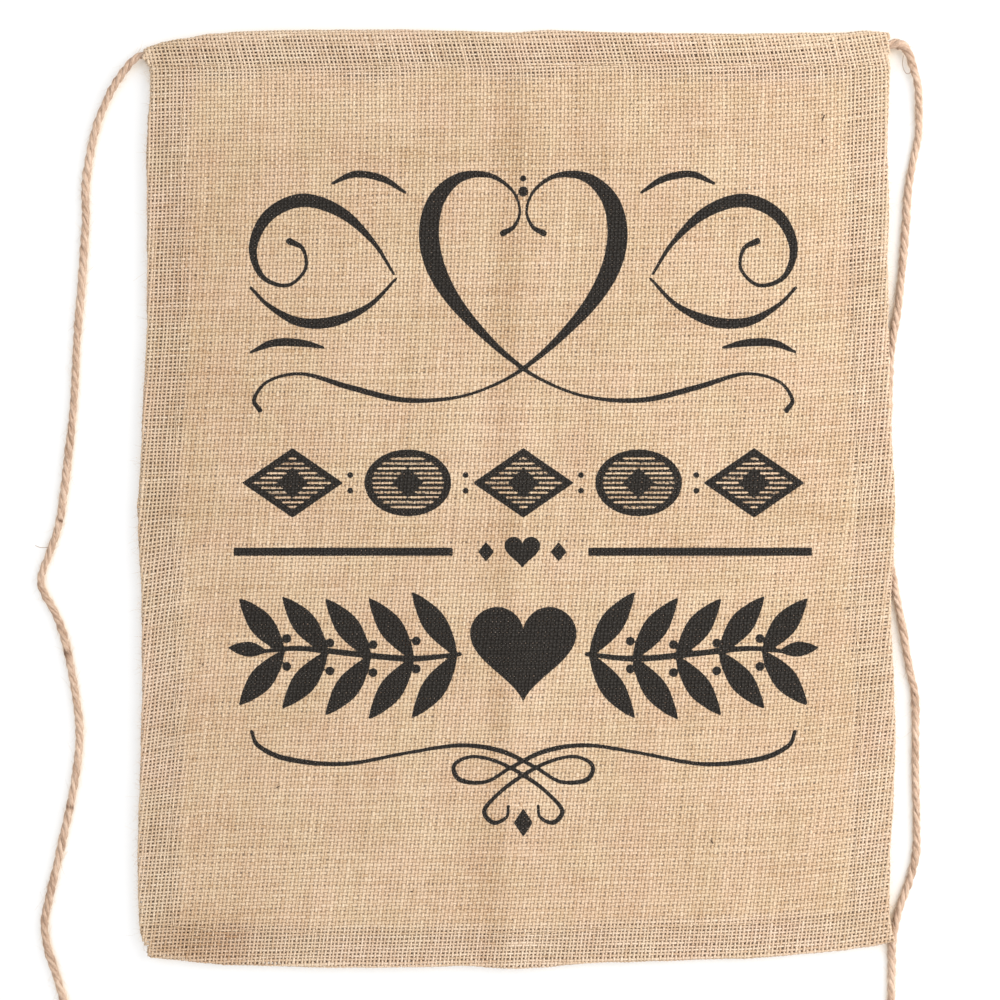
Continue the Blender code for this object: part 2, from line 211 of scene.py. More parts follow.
def roll(distance, reach, back):
    """A double turned hem. distance is measured outwards in the flat cloth, reach is the
    hem's edge and back the y of its last ply. Returns how far out, how deep, the angle
    turned, whether cloth is there, and whether it is past the start of the turn."""
    radius = (back - FACE_Y) / 2
    start = reach - radius
    past = distance - start
    in_hem = past > 0
    past = np.maximum(past, 0)
    angle = np.clip(past / radius, 0, np.pi)
    beyond = past - np.pi * radius
    out = np.where(beyond > 0, start - beyond, start + radius * np.sin(angle))
    # the raw edge turns once more, inside the hem
    inner = reach - HEM + INNER_RADIUS
    past_inner = np.where(beyond > 0, inner - out, -1.0)
    inner_angle = np.clip(past_inner / INNER_RADIUS, 0, np.pi)
    beyond_inner = past_inner - np.pi * INNER_RADIUS
    out = np.where(past_inner > 0, inner - INNER_RADIUS * np.sin(inner_angle), out)
    out = np.where(beyond_inner > 0, inner + beyond_inner, out)
    deep = np.where(past_inner > 0,
                    back - 2 * INNER_RADIUS + INNER_RADIUS * (1 + np.cos(inner_angle)),
                    FACE_Y + radius * (1 - np.cos(angle)))
    turned = np.where(past_inner > 0, np.pi + inner_angle, angle)
    return out, deep, turned, beyond_inner < TURN_IN, in_hem


TUCK_TOP_Z = -5.0               # where the casing's back leaves the upright
TUCK_LENGTH = 5.1               # of the slope in to the seam
TUCK_IN, TUCK_DOWN = 0.902, 0.43     # the direction of that slope
TUCK_END_Y, TUCK_END_Z = -5.1, -7.19
TUCK_TAIL = 4.5                 # upright end below the slope


def fold_casing(flat_x, flat_z):
    """The casing: up the face, over the top, down the back and in to the seam."""
    bend_z = along(TOP_EDGE, flat_x) + 0.18 * noise1(904, flat_x / 8.0) - 3.4
    over_bend = flat_z - bend_z
    angle = np.clip(over_bend / CASING_RADIUS, 0, np.pi)
    y = FACE_Y + CASING_RADIUS * (1 - np.cos(angle))
    z = np.where(over_bend > 0, bend_z + CASING_RADIUS * np.sin(angle), flat_z)
    down_back = over_bend - np.pi * CASING_RADIUS
    tuck = down_back - (bend_z - TUCK_TOP_Z)
    tail = tuck - TUCK_LENGTH
    z = np.where(down_back > 0, bend_z - down_back, z)
    z = np.where(tuck > 0, TUCK_TOP_Z - tuck * TUCK_DOWN, z)
    y = np.where(tuck > 0, CASING_BACK_Y - tuck * TUCK_IN, y)
    z = np.where(tail > 0, TUCK_END_Z - tail, z)
    y = np.where(tail > 0, TUCK_END_Y, y)
    normal_y = np.where(tuck > 0, TUCK_DOWN, -np.cos(angle))
    normal_z = np.where(tuck > 0, -TUCK_IN, np.sin(angle))
    normal_y, normal_z = np.where(tail > 0, 1.0, normal_y), np.where(tail > 0, 0.0, normal_z)
    mouth = -202.4 + 3.4 * smooth(-4.0, -9.5, z)
    there = (flat_x > mouth) & (flat_x < 198.8) & (tail < TUCK_TAIL)
    return y, z, normal_y, normal_z, there


def place(flat_x, flat_z):
    """A point of the flat cloth, in the made-up banner: position, the printed side's
    normal, which part of the banner it is in, and whether the cloth reaches it."""
    x, y, z = flat_x, np.full(flat_x.shape, FACE_Y), flat_z
    normal = np.zeros(flat_x.shape + (3,))
    normal[..., 1] = -1
    part = np.zeros(flat_x.shape, int)
    there = np.ones(flat_x.shape, bool)
    body = flat_z < SEAM_Z
    for side, name in ((-1, LEFT), (1, RIGHT)):
        reach = half_width(side, flat_z)
        out, deep, turned, reached, in_hem = roll(side * flat_x, reach, BACK_Y)
        here = body & in_hem
        x = np.where(here, side * out, x)
        y = np.where(here, deep, y)
        normal[..., 0] = np.where(here, side * np.sin(turned), normal[..., 0])
        normal[..., 1] = np.where(here, -np.cos(turned), normal[..., 1])
        part = np.where(here, name, part)
        there &= ~here | (reached & (flat_z > bottom_z(side * reach) + 0.6))
    # the bottom hem lies behind the side hems at the corners
    inside = np.minimum(flat_x + half_width(-1, flat_z), half_width(1, flat_z) - flat_x)
    back = BACK_Y + 2.0 * (1 - smooth(19.5, 26.0, inside))
    reach = -bottom_z(np.clip(flat_x, -203, 199))
    out, deep, turned, reached, in_hem = roll(-flat_z, reach, back)
    here = body & (part == FACE) & in_hem
    z = np.where(here, -out, z)
    y = np.where(here, deep, y)
    normal[..., 2] = np.where(here, -np.sin(turned), normal[..., 2])
    normal[..., 1] = np.where(here, -np.cos(turned), normal[..., 1])
    part = np.where(here, BOTTOM, part)
    inside_folded = np.minimum(flat_x + half_width(-1, z), half_width(1, z) - flat_x)
    there &= ~here | (reached & (np.minimum(inside, inside_folded) > 0.9))
    casing_y, casing_z, normal_y, normal_z, reached = fold_casing(flat_x, flat_z)
    y, z = np.where(body, y, casing_y), np.where(body, z, casing_z)
    normal[..., 1] = np.where(body, normal[..., 1], normal_y)
    normal[..., 2] = np.where(body, normal[..., 2], normal_z)
    part = np.where(body, part, CASING)
    there &= body | reached
    return np.stack([x, y + relief(x, z), z], -1), normal, part, there


# ----------------------------------------------------------------------- print
# A penned heart with scrolls, five hatched lozenges, two rules, a laurel either side of a
# heart, and a looped flourish. It is a distance field, negative where there is ink.
CELL = 0.25
INK_X0, INK_Z0 = -172.0, -428.0
INK_NX, INK_NZ = int(348 / CELL), int(376 / CELL)
INK_MARGIN = 2                  # how far outside a shape its distance is worked out
MID_X = 2.0
ink_field = np.full((INK_NZ, INK_NX), 9.0, np.float32)


def lay_ink(left, right, low, high, distance):
    """Adds a shape inside a rectangle; distance(x, z) is negative within the shape."""
    i0 = max(int((left - INK_MARGIN - INK_X0) / CELL), 0)
    i1 = min(int((right + INK_MARGIN - INK_X0) / CELL) + 2, INK_NX)
    j0 = max(int((low - INK_MARGIN - INK_Z0) / CELL), 0)
    j1 = min(int((high + INK_MARGIN - INK_Z0) / CELL) + 2, INK_NZ)
    x = (INK_X0 + CELL * np.arange(i0, i1))[None, :]
    z = (INK_Z0 + CELL * np.arange(j0, j1))[:, None]
    window = (slice(j0, j1), slice(i0, i1))
    ink_field[window] = np.minimum(ink_field[window], distance(x, z))


def dot(at_x, at_z, radius):
    lay_ink(at_x - radius, at_x + radius, at_z - radius, at_z + radius,
            lambda x, z: np.hypot(x - at_x, z - at_z) - radius)


def bar(left, right, low, high):
    lay_ink(left, right, low, high,
            lambda x, z: np.maximum(np.maximum(left - x, x - right),
                                    np.maximum(low - z, z - high)))


def curve(points, step=0.35):
    """Catmull-Rom through rows of numbers, of which the first two are x and z."""
    knots = np.array(points, float)
    knots = np.vstack([2 * knots[0] - knots[1], knots, 2 * knots[-1] - knots[-2]])
    rows = []
    for i in range(1, len(knots) - 2):
        before, start, end, after = knots[i - 1:i + 3]
        count = max(2, int(np.hypot(*(end - start)[:2]) / step))
        part = (np.arange(count) / count)[:, None]
        rows.append(0.5 * (2 * start + (end - before) * part
                           + (2 * before - 5 * start + 4 * end - after) * part ** 2
                           + (3 * start - before - 3 * end + after) * part ** 3))
    rows.append(knots[-2][None])
    return np.vstack(rows)


def pen_both(points, at_z, scale=1.0):
    """A pen stroke and its mirror image; points are (x, z, width) from (MID_X, at_z)."""
    stroke = curve(points)
    for side in (1, -1):
        for x, z, width in stroke:
            dot(MID_X + side * x * scale, at_z + z * scale, max(width, 0.5) / 2)


def fill(outline, carve=None):
    """A filled outline; carve, if given, is a distance cut out of it."""
    outline = np.array(outline, float)

    def distance(x, z):
        nearest = np.full(np.broadcast(x, z).shape, 1e9)
        inside = np.zeros(nearest.shape, bool)
        for (ax, az), (bx, bz) in zip(outline, np.roll(outline, -1, 0)):
            edge_x, edge_z = bx - ax, bz - az
            length2 = max(edge_x * edge_x + edge_z * edge_z, 1e-9)
            part = np.clip(((x - ax) * edge_x + (z - az) * edge_z) / length2, 0, 1)
            nearest = np.minimum(nearest,
                                 np.hypot(x - ax - edge_x * part, z - az - edge_z * part))
            if az != bz:
                inside ^= ((az > z) != (bz > z)) & (x < edge_x * (z - az) / edge_z + ax)
        signed = np.where(inside, -nearest, nearest)
        return signed if carve is None else np.maximum(signed, carve(x, z))

    lay_ink(outline[:, 0].min(), outline[:, 0].max(), outline[:, 1].min(), outline[:, 1].max(),
            distance)


def fill_heart(at_x, at_z, width):
    turn = np.linspace(0, 2 * np.pi, 90, endpoint=False)
    scale = width / 32.0
    fill(np.stack([at_x + scale * 16 * np.sin(turn) ** 3,
                   at_z + scale * (13 * np.cos(turn) - 5 * np.cos(2 * turn)
                                   - 2 * np.cos(3 * turn) - np.cos(4 * turn))], 1))


# the penned heart, then the scrolls beside it: (x, z, width)
HEART_Z, PEN_SCALE = -113, 1.22
pen_both([(9, 12, 3.2), (4, 15, 1.8), (1.5, 22, 1.3), (5, 31, 1.5), (15, 37.5, 2.6),
          (28, 36.5, 5.0), (38, 27, 8.6), (41.5, 13, 10.6), (39, -2, 10.2), (31, -17, 7.6),
          (19, -31, 4.6), (6, -43, 2.6), (-8, -52.5, 1.6), (-28, -60, 1.5), (-52, -61.5, 2.6),
          (-76, -56, 2.8), (-97, -50, 1.7), (-112, -53, 1.5), (-118.5, -61, 1.9),
          (-116, -66, 2.6)], HEART_Z, PEN_SCALE)
pen_both([(57, -6, 1.2), (66, 8, 2.4), (80, 21, 5.6), (97, 26.5, 7.0), (112, 20, 6.2),
          (119, 6, 4.4), (115, -7, 2.6), (104, -11, 1.8), (96, -4, 1.6), (97, 5, 1.9),
          (103, 8.5, 3.4)], HEART_Z, PEN_SCALE)
pen_both([(56, -8, 1.2), (68, -20, 2.6), (84, -27, 5.4), (99, -27, 4.6), (112, -20, 2.2),
          (120, -12, 1.5)], HEART_Z, PEN_SCALE)
pen_both([(52, 30, 1.3), (62, 36, 3.4), (74, 38, 3.4), (84, 34, 1.4)], HEART_Z, PEN_SCALE)
pen_both([(88, -40, 1.2), (98, -38, 3.8), (110, -38, 3.8), (120, -42, 1.2)], -111, PEN_SCALE)
dot(MID_X, -76, 2.6)
dot(MID_X, -69, 1.6)

LOZENGE_Z, LOZENGE_PITCH = -232.5, 62
LOZENGE_W, LOZENGE_H = 27.0, 18.6        # half sizes
OVAL_W, OVAL_H = 0.86 * LOZENGE_W, 0.96 * LOZENGE_H
HATCH_PITCH = 2.6


def lozenge(k):
    """A hatched lozenge, or an oval where k is odd."""
    mid_x = MID_X + LOZENGE_PITCH * k
    pointed = k % 2 == 0
    if pointed:
        outline = [(mid_x - LOZENGE_W, LOZENGE_Z), (mid_x, LOZENGE_Z + LOZENGE_H),
                   (mid_x + LOZENGE_W, LOZENGE_Z), (mid_x, LOZENGE_Z - LOZENGE_H)]
    else:
        outline = [(mid_x + OVAL_W * math.cos(angle), LOZENGE_Z + OVAL_H * math.sin(angle))
                   for angle in np.linspace(0, 2 * math.pi, 40, endpoint=False)]

    def hatch(x, z):
        if pointed:
            edge = np.abs(x - mid_x) / LOZENGE_W + np.abs(z - LOZENGE_Z) / LOZENGE_H - 1
            edge = edge * 15.3
        else:
            edge = (np.hypot((x - mid_x) / OVAL_W, (z - LOZENGE_Z) / OVAL_H) - 1) * 20
        phase = (z - LOZENGE_Z + 50 * HATCH_PITCH) % HATCH_PITCH
        lines = 0.62 - np.abs(phase - HATCH_PITCH / 2)
        centre = (np.abs(x - mid_x) / 8.0 + np.abs(z - LOZENGE_Z) / 8.0 - 1) * 5.6
        return np.minimum(np.minimum(-edge - 3.2, -lines), centre)

    fill(outline, hatch)


for k in range(-2, 3):
    lozenge(k)
for k in range(-2, 2):
    for offset in (4.2, -4.2):
        dot(MID_X + LOZENGE_PITCH * (k + 0.5), LOZENGE_Z + offset, 1.5)

# rules, and between them a small heart with a diamond on each side
bar(-153.5, -36, -271.6, -267.4)
bar(37, 157, -271.6, -267.4)
fill_heart(MID_X - 0.5, -268.6, 19.0)
for side in (-1, 1):
    mid_x = MID_X - 0.5 + side * 19.5
    fill([(mid_x - 4.2, -269.5), (mid_x, -264.4), (mid_x + 4.2, -269.5), (mid_x, -274.6)])

# laurels and a heart
LAUREL_Z = -323.5
fill_heart(MID_X, -320.5, 57.0)
pen_both([(34, -1, 2.0), (60, -3.5, 3.0), (90, -1, 3.0), (120, 2, 2.6), (140, 0.5, 1.8)],
         LAUREL_Z)
for k in range(5):
    leaf_x = 36 + 23.2 * k
    leaf_z = -1.5 - 2.0 * math.sin(k * 1.3)
    for up in (1, -1):
        rise_to = up * (31.5 - 1.2 * k)
        # (run, share of the rise, width) along a leaf
        pen_both([(leaf_x + run, leaf_z + rise_to * share, width) for run, share, width in
                  ((0, 0, 1.2), (5.5, 0.26, 8.6), (12.0, 0.56, 12.6), (18.5, 0.85, 7.4),
                   (23.5, 1.06, 0.8))], LAUREL_Z)
        if k < 4:
            for side in (1, -1):
                dot(MID_X + side * leaf_x + side * 21.5, LAUREL_Z + leaf_z + up * 7.5, 2.3)
pen_both([(138, 0.5, 1.0), (146, 1.5, 7.5), (152, 2.0, 6.0), (158, 2.5, 0.8)], LAUREL_Z)

# the looped flourish and the diamond under it
pen_both([(-146, 5, 1.6), (-142, -3, 2.2), (-126, -10, 2.6), (-96, -12.5, 2.0), (-62, -6.5, 1.6),
          (-34, -2.5, 2.0), (-12, -5.5, 2.4), (6, -14, 1.8), (20, -22, 1.8), (34, -21, 2.4),
          (37, -13, 2.0), (27, -8.5, 1.6), (12, -12, 1.8), (-4, -21, 2.0), (-15, -30, 1.8),
          (-21, -38, 2.2), (-16, -44, 2.2), (-9, -41, 1.5), (-8, -35, 1.4)], -371)
fill([(MID_X - 5, -415), (MID_X, -407.5), (MID_X + 5, -415), (MID_X, -422.5)])


def ink_at(x, z):
    """Distance to the print's edge, between the cells of the field."""
    cell_x = np.clip((x - INK_X0) / CELL, 0, INK_NX - 1.001)
    cell_z = np.clip((z - INK_Z0) / CELL, 0, INK_NZ - 1.001)
    i, j = cell_x.astype(int), cell_z.astype(int)
    part_x, part_z = cell_x - i, cell_z - j
    low = ink_field[j, i] * (1 - part_x) + ink_field[j, i + 1] * part_x
    high = ink_field[j + 1, i] * (1 - part_x) + ink_field[j + 1, i + 1] * part_x
    return low * (1 - part_z) + high * part_z


# ------------------------------------------------------------------- materials
MIX_A, MIX_B, MIX_RESULT = 6, 7, 2      # a mix node's colour sockets


def rgb(*channels):
    """sRGB 0-255 to linear."""
    def linear(c):
        c = c / 255.0
        return c / 12.92 if c <= 0.04045 else ((c + 0.055) / 1.055) ** 2.4
    return tuple(linear(c) for c in channels) + (1.0,)


def set_inputs(tree, node, values):
    """Sets each socket to a number or colour, or links it to an output."""
    for socket, value in values.items():
        if isinstance(value, bpy.types.NodeSocket):
            tree.links.new(value, node.inputs[socket])
        else:
            node.inputs[socket].default_value = value


def add_node(tree, kind, values=None, **settings):
    node = tree.nodes.new("ShaderNode" + kind)
    for setting, value in settings.items():
        setattr(node, setting, value)
    set_inputs(tree, node, values or {})
    return node


def maths(tree, operation, *operands):
    """The output of a math node, given its operands in order."""
    return add_node(tree, "Math", dict(enumerate(operands)), operation=operation).outputs[0]


def attribute(tree, name):
    return add_node(tree, "Attribute", attribute_name=name).outputs["Fac"]


def colour_ramp(tree, factor, stops):
    """The colour at factor, from stops (position, linear colour)."""
    node = add_node(tree, "ValToRGB", {"Fac": factor})
    elements = node.color_ramp.elements
    for element, (position, colour) in zip(elements, (stops[0], stops[-1])):
        element.position = position
        element.color = colour
    for position, colour in stops[1:-1]:
        elements.new(position).color = colour
    return node.outputs["Color"]


def mix_colours(tree, factor, first, second, blend="MIX"):
    return add_node(tree, "Mix", {"Factor": factor, MIX_A: first, MIX_B: second},
                    data_type="RGBA", blend_type=blend).outputs[MIX_RESULT]


def new_material(name):
    """A material with its node tree and principled shader."""
    material = bpy.data.materials.new(name)
    material.use_nodes = True
    return material, material.node_tree, material.node_tree.nodes["Principled BSDF"]


SHEEN, INKED_SHEEN_LOSS = 0.12, 0.11
OPEN_TINT = (0.948, 0.918, 0.858, 1.0)
# (position, sRGB colour)
HESSIAN = [(0.02, (112, 76, 44)), (0.25, (163, 127, 90)), (0.46, (195, 169, 142)),
           (0.68, (216, 196, 174)), (0.95, (231, 217, 202))]


def lay_print(tree, bsdf, position, streak, colour):
    """Tints the yarn colour over the cloth and puts the ink on it."""
    # handled and pressed hems are greyer than the open cloth
    is_open = maths(tree, "SUBTRACT", 1.0, attribute(tree, "press"))
    colour = mix_colours(tree, is_open, colour, OPEN_TINT, "MULTIPLY")
    # the jute's own colour drifts between straw and a pinker brown
    drift = add_node(tree, "TexNoise", {"Scale": 42.0, "Detail": 3.0, "Vector": position})
    hue = colour_ramp(tree, drift.outputs["Fac"],
                      [(0.34, (0.985, 1.0, 0.97, 1.0)), (0.66, (1.0, 0.975, 0.98, 1.0))])
    colour = mix_colours(tree, 1.0, colour, hue, "MULTIPLY")
    # ink is where the distance to the printed shape is below nothing
    wobble = maths(tree, "MULTIPLY_ADD", streak, 0.5, attribute(tree, "ink"))
    inked = add_node(tree, "MapRange", {"From Min": 0.50, "From Max": 0.26, "To Min": 0.0,
                                        "To Max": 0.98, "Value": wobble},
                     interpolation_type="SMOOTHSTEP").outputs["Result"]
    # painted highlight: the ink is palest on the crests of the yarns, where a sheen would catch
    # the light
    shine = add_node(tree, "Math", {0: attribute(tree, "crest"), 1: 0.55},
                     operation="MULTIPLY_ADD")
    set_inputs(tree, shine, {2: maths(tree, "MULTIPLY", streak, 0.45)})
    shade = colour_ramp(tree, shine.outputs[0],
                        [(0.2, rgb(8, 8, 8)), (0.6, rgb(34, 33, 32)), (0.95, rgb(82, 82, 83))])
    colour = mix_colours(tree, inked, colour, shade)
    # and it lays the down of the yarn flat
    sheen = maths(tree, "MULTIPLY_ADD", inked, -INKED_SHEEN_LOSS, SHEEN)
    set_inputs(tree, bsdf, {"Sheen Weight": sheen})
    return colour


def fibre_material(name, stops, stretch, roughness=0.88, ink=False, grain=0.16):
    """Plant fibre: a colour from each yarn's own tone, streaked along its run, and if ink
    is set, with the print lying over it."""
    material, tree, bsdf = new_material(name)
    set_inputs(tree, bsdf, {"Roughness": roughness, "Specular IOR Level": 0.25,
                            "Sheen Weight": SHEEN, "Sheen Roughness": 0.6})
    position = add_node(tree, "TexCoord").outputs["Object"]
    mapping = add_node(tree, "Mapping", {"Scale": stretch, "Vector": position})
    streak = add_node(tree, "TexNoise", {"Scale": 1000.0, "Detail": 3.0, "Roughness": 0.6,
                                         "Vector": mapping.outputs["Vector"]}).outputs["Fac"]
    tone = attribute(tree, "tone")
    spread = maths(tree, "MULTIPLY_ADD", streak, grain * 2, -grain)
    colour = colour_ramp(tree, maths(tree, "ADD", tone, spread),
                         [(at, rgb(*srgb)) for at, srgb in stops])
    if ink:
        colour = lay_print(tree, bsdf, position, streak, colour)
    set_inputs(tree, bsdf, {"Base Color": colour})
    return material


warp_mat = fibre_material("hessian_warp_yarn", HESSIAN, stretch=(1.6, 1.6, 0.22), ink=True)
weft_mat = fibre_material("hessian_weft_yarn", HESSIAN, stretch=(0.22, 1.6, 1.6), ink=True)
cord_mat = fibre_material("jute_cord_fibre",
                          [(0.05, (108, 82, 64)), (0.35, (164, 135, 114)),
                           (0.6, (192, 165, 144)), (0.95, (216, 194, 174))],
                          stretch=(1.5, 1.5, 0.40), roughness=0.82, grain=0.32)
hair_mat = fibre_material("loose_jute_fibre",
                          [(0.1, (150, 116, 84)), (0.5, (206, 174, 138)),
                           (0.9, (234, 212, 184))], stretch=(0.5, 0.5, 0.5), roughness=0.7)
thread_mat = fibre_material("tan_sewing_thread",
                            [(0.1, (186, 156, 122)), (0.5, (213, 187, 155)),
                             (0.9, (228, 207, 180))], stretch=(2.0, 2.0, 2.0), roughness=0.6)


# ------------------------------------------------------------- building meshes
def link_object(name, data):
    obj = bpy.data.objects.new(name, data)
    bpy.context.scene.collection.objects.link(obj)
    return obj


def make_mesh(name, verts, quads, tris, materials, marks, uv, face_mats=None):
    """verts in mm, which quads (n, 4) and tris (m, 3) index; marks are float attributes of
    the points. uv is per corner and face_mats per face, quads first."""
    mesh = bpy.data.meshes.new(name)
    quads = np.asarray(quads, np.int32).reshape(-1, 4)
    tris = np.asarray(tris, np.int32).reshape(-1, 3)
    quad_count, tri_count = len(quads), len(tris)
    mesh.vertices.add(len(verts))
    mesh.vertices.foreach_set("co", (np.asarray(verts, np.float32) * MM).ravel())
    mesh.loops.add(quad_count * 4 + tri_count * 3)
    mesh.loops.foreach_set("vertex_index", np.concatenate([quads.ravel(), tris.ravel()]))
    mesh.polygons.add(quad_count + tri_count)
    starts = np.concatenate([np.arange(quad_count) * 4,
                             quad_count * 4 + np.arange(tri_count) * 3]).astype(np.int32)
    mesh.polygons.foreach_set("loop_start", starts)
    if face_mats is not None:
        mesh.polygons.foreach_set("material_index", np.asarray(face_mats, np.int32))
    for material in materials:
        mesh.materials.append(material)
    mesh.update(calc_edges=True)
    mesh.polygons.foreach_set("use_smooth", np.ones(quad_count + tri_count, bool))
    for key, values in marks.items():
        mesh.attributes.new(key, "FLOAT", "POINT").data.foreach_set(
            "value", np.asarray(values, np.float32))
    layer = mesh.uv_layers.new(name="OFBake")
    layer.data.foreach_set("uv", np.asarray(uv, np.float32).ravel())
    mesh.validate()
    return link_object(name, mesh)


def unit(vectors):
    return vectors / np.maximum(np.linalg.norm(vectors, axis=-1, keepdims=True), 1e-9)


band_top, band_low = CREASE_Z + BAND, CREASE_Z - BAND


def register(piece, body, nodes=()):
    """Hides the model's parts that the piece stands in for and attaches it to the body it moves
    with; with no body, it only has its transform applied."""
    if nodes:
        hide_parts(*nodes)
    if body:
        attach(piece, body)
    else:
        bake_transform(piece)


# ------------------------------------------------------------------- the yarns
warp_ids = np.arange(int(WARP_SPAN / WARP_PITCH))
weft_ids = np.arange(int(WEFT_SPAN / WEFT_PITCH))
warp_grid, weft_grid = np.meshgrid(warp_ids, weft_ids, indexing="ij")
warp_x = WARP_START + WARP_PITCH * warp_ids + 0.16 * TABLE[warp_ids * 13 + 5]
weft_z = WEFT_START + WEFT_PITCH * weft_ids + 0.16 * TABLE[weft_ids * 17 + 9000]
cross_x, cross_z = flatten(
    warp_x[warp_grid] + 0.24 * noise1(warp_grid + 1000, weft_z[weft_grid] / 19.0)
    + 0.12 * noise1(warp_grid + 1500, weft_z[weft_grid] / 6.0),
    weft_z[weft_grid] + 0.24 * noise1(weft_grid + 2000, warp_x[warp_grid] / 23.0)
    + 0.12 * noise1(weft_grid + 2500, warp_x[warp_grid] / 6.0))
warp_over = np.where((warp_grid + weft_grid) % 2 == 0, 1.0, -1.0)   # 1: the warp is on top


def midway(values):
    return (values[:, 1:] + values[:, :-1]) / 2


def halves(values):
    """Crossings and the points half way between them, along axis 1."""
    out = np.empty((values.shape[0], 2 * values.shape[1] - 1))
    out[:, ::2] = values
    out[:, 1::2] = midway(values)
    return out


def painted_shade_and_patch(x, z):
    """Painted shade and light along the folds: darker left of the upright crease and lighter
    right of it, darker along the crease across and on the lifted bottom-left corner; and a patch
    at the upper left a little darker.
    """
    fold = x - crease_x(z)
    # painted shade left of the upright crease, painted light right of it
    tone = (-0.055 * np.exp(-((fold + 8.0) / 7.0) ** 2)
            + 0.030 * np.exp(-((fold - 14.0) / 13.0) ** 2))
    # painted shade along the crease across the banner
    across = z - CREASE_Z + 0.03 * np.abs(x)
    tone = tone - 0.045 * np.exp(-((across + 4.0) / 5.0) ** 2) * smooth(40.0, 150.0, np.abs(x))
    # painted shade on the lifted bottom-left corner
    corner = np.exp(-(((x + 175.0) / 24.0) ** 2 + ((z + 478.0) / 17.0) ** 2))
    # a patch at the upper left, a little darker
    darker_patch = np.exp(-(((x + 163.0) / 35.0) ** 2 + ((z + 165.0) / 70.0) ** 2))
    return tone - 0.16 * corner - 0.035 * darker_patch


def yarns(is_weft):
    """Every ring of the warps or of the wefts."""
    if is_weft:
        x, z, height = halves(cross_x.T), halves(cross_z.T), halves(-warp_over.T * RISE)
        run, key, own_tone = x, 6000, 0.045
    else:
        x, z, height = halves(cross_x), halves(cross_z), halves(warp_over * RISE)
        run, key, own_tone = z, 3000, 0.030
    index = np.arange(x.shape[0])[:, None]
    points, normal, part, there = place(x, z)
    mid_x, mid_z = midway(x), midway(z)
    _, _, mid_part, mid_there = place(mid_x, mid_z)
    mid_there &= there[:, 1:] & there[:, :-1]
    # no thread may leap across the cut between the casing and a side hem
    mid_there &= np.linalg.norm(points[:, 1:] - points[:, :-1], axis=-1) < 2.6
    height = height * (1 + 0.15 * noise1(index + key + 9, run / 9.0))
    points = points + normal * height[..., None]
    tangent = unit(np.gradient(points, axis=1))
    sideways = unit(np.cross(tangent, normal))
    up = np.cross(sideways, tangent)
    # yarns are full and soft in the open cloth, pressed harder together in the hems
    edge = np.minimum(np.minimum(x + half_width(-1, z), half_width(1, z) - x),
                      np.minimum(z - bottom_z(x), 9.0 - z + 5.0 * noise1(71, x / 40.0)))
    is_open = smooth(18.0, 26.0, edge)
    printed = smooth(0.3, -0.4, ink_at(x, z)) * (part == FACE)
    to_right = smooth(150.0, 190.0, x)
    # and they are flattened against each other along a folded edge and inside it
    width = (1.18 + 0.60 * is_open + 0.04 * printed + 0.26 * np.exp(-((edge - 1.2) / 2.6) ** 2)
             + 0.34 * smooth(0.6, -1.5, edge) + 0.06 * to_right * (1 - is_open))
    thick = 0.64 - 0.02 * is_open
    fullness = (1 + 0.05 * random_at(index * 29 + key) + 0.07 * noise1(index + key, run / 11.0)
                + 0.06 * noise1(index + key + 400, run / 3.0))
    slub = smooth(0.62, 0.95, noise1(index + key + 777, run / 26.0))
    fullness = fullness + 0.25 * slub
    width, thick = width * fullness, thick * (0.6 + 0.4 * fullness)
    angle = np.pi / 2 + 2 * np.pi * np.arange(SIDES) / SIDES
    cos, sin = np.cos(angle), np.sin(angle)
    rings = (points[:, :, None, :]
             + sideways[:, :, None, :] * (cos[:, None] * width[:, :, None, None] / 2)
             + up[:, :, None, :] * (sin[:, None] * thick[:, :, None, None] / 2))
    # flat coordinates of the ring, for the print and for the map
    flat_run = unit(np.stack([np.gradient(x, axis=1), np.gradient(z, axis=1)], -1))
    ring_x = x[:, :, None] + flat_run[..., 1][:, :, None] * cos * width[:, :, None] / 2
    ring_z = z[:, :, None] + (-flat_run[..., 0])[:, :, None] * cos * width[:, :, None] / 2
    # the last term paints shade and light along the folds and on the bottom-left corner
    tone = (0.60 + own_tone * random_at(index * 53 + key + 33)
            + 0.045 * noise1(index + key + 55, run / 14.0)
            + 0.05 * noise1(index + key + 66, run / 3.5)
            + 0.03 * noise2(x / 30.0, z / 30.0, 8) + 0.03 * slub + painted_shade_and_patch(x, z))
    # painted shade: a yarn's colour is lightest along its crest and darker on its flanks, as
    # loose fibre in shade
    flank = np.array([0.0, 0.20, 0.06, 0.06, 0.20])
    rightward = smooth(120.0, 195.0, x)
    shaded = (0.75 + 0.25 * is_open) * (1 - 0.5 * rightward * (1 - is_open))
    tone = tone - (0.012 + 0.045 * rightward) * (1 - is_open)
    tone = tone[:, :, None] - flank * shaded[:, :, None]
    # where the painted highlight on the ink goes: the top of each yarn where it rides over
    # another
    crest = np.zeros(tone.shape)
    crest[:, :, 0] = np.clip(height / RISE, 0, 1) ** 2
    # the ink stays off the undersides of the yarns, and off all but the face
    away = 4.6 * (1 - np.clip(sin + 0.72, 0, 1))
    ink = np.clip(ink_at(ring_x, ring_z), -3, 3) + away + 6.0 * (part != FACE)[:, :, None]
    return dict(rings=rings, flat=np.stack([ring_x, ring_z], -1), tone=tone, ink=ink,
                crest=crest, press=np.repeat((1 - is_open)[:, :, None], SIDES, 2),
                part=mid_part, there=mid_there, x=mid_x, z=mid_z)


families = [yarns(is_weft=False), yarns(is_weft=True)]

# The cloth is parted into tiles, three columns by two rows in each panel.
COLUMN_CUTS = np.array([-67.0, 67.0])
UPPER_CUT_Z, LOWER_CUT_Z = -123.0, -363.0
# tile numbers: +10 for the lower row or level, +1 for the next column or the right half
UPPER_TILE, LOWER_TILE, LEFT_TILE, RIGHT_TILE = 100, 200, 310, 330
BOTTOM_TILE, CASING_TILE, CREASE_TILE = 350, 360, 400


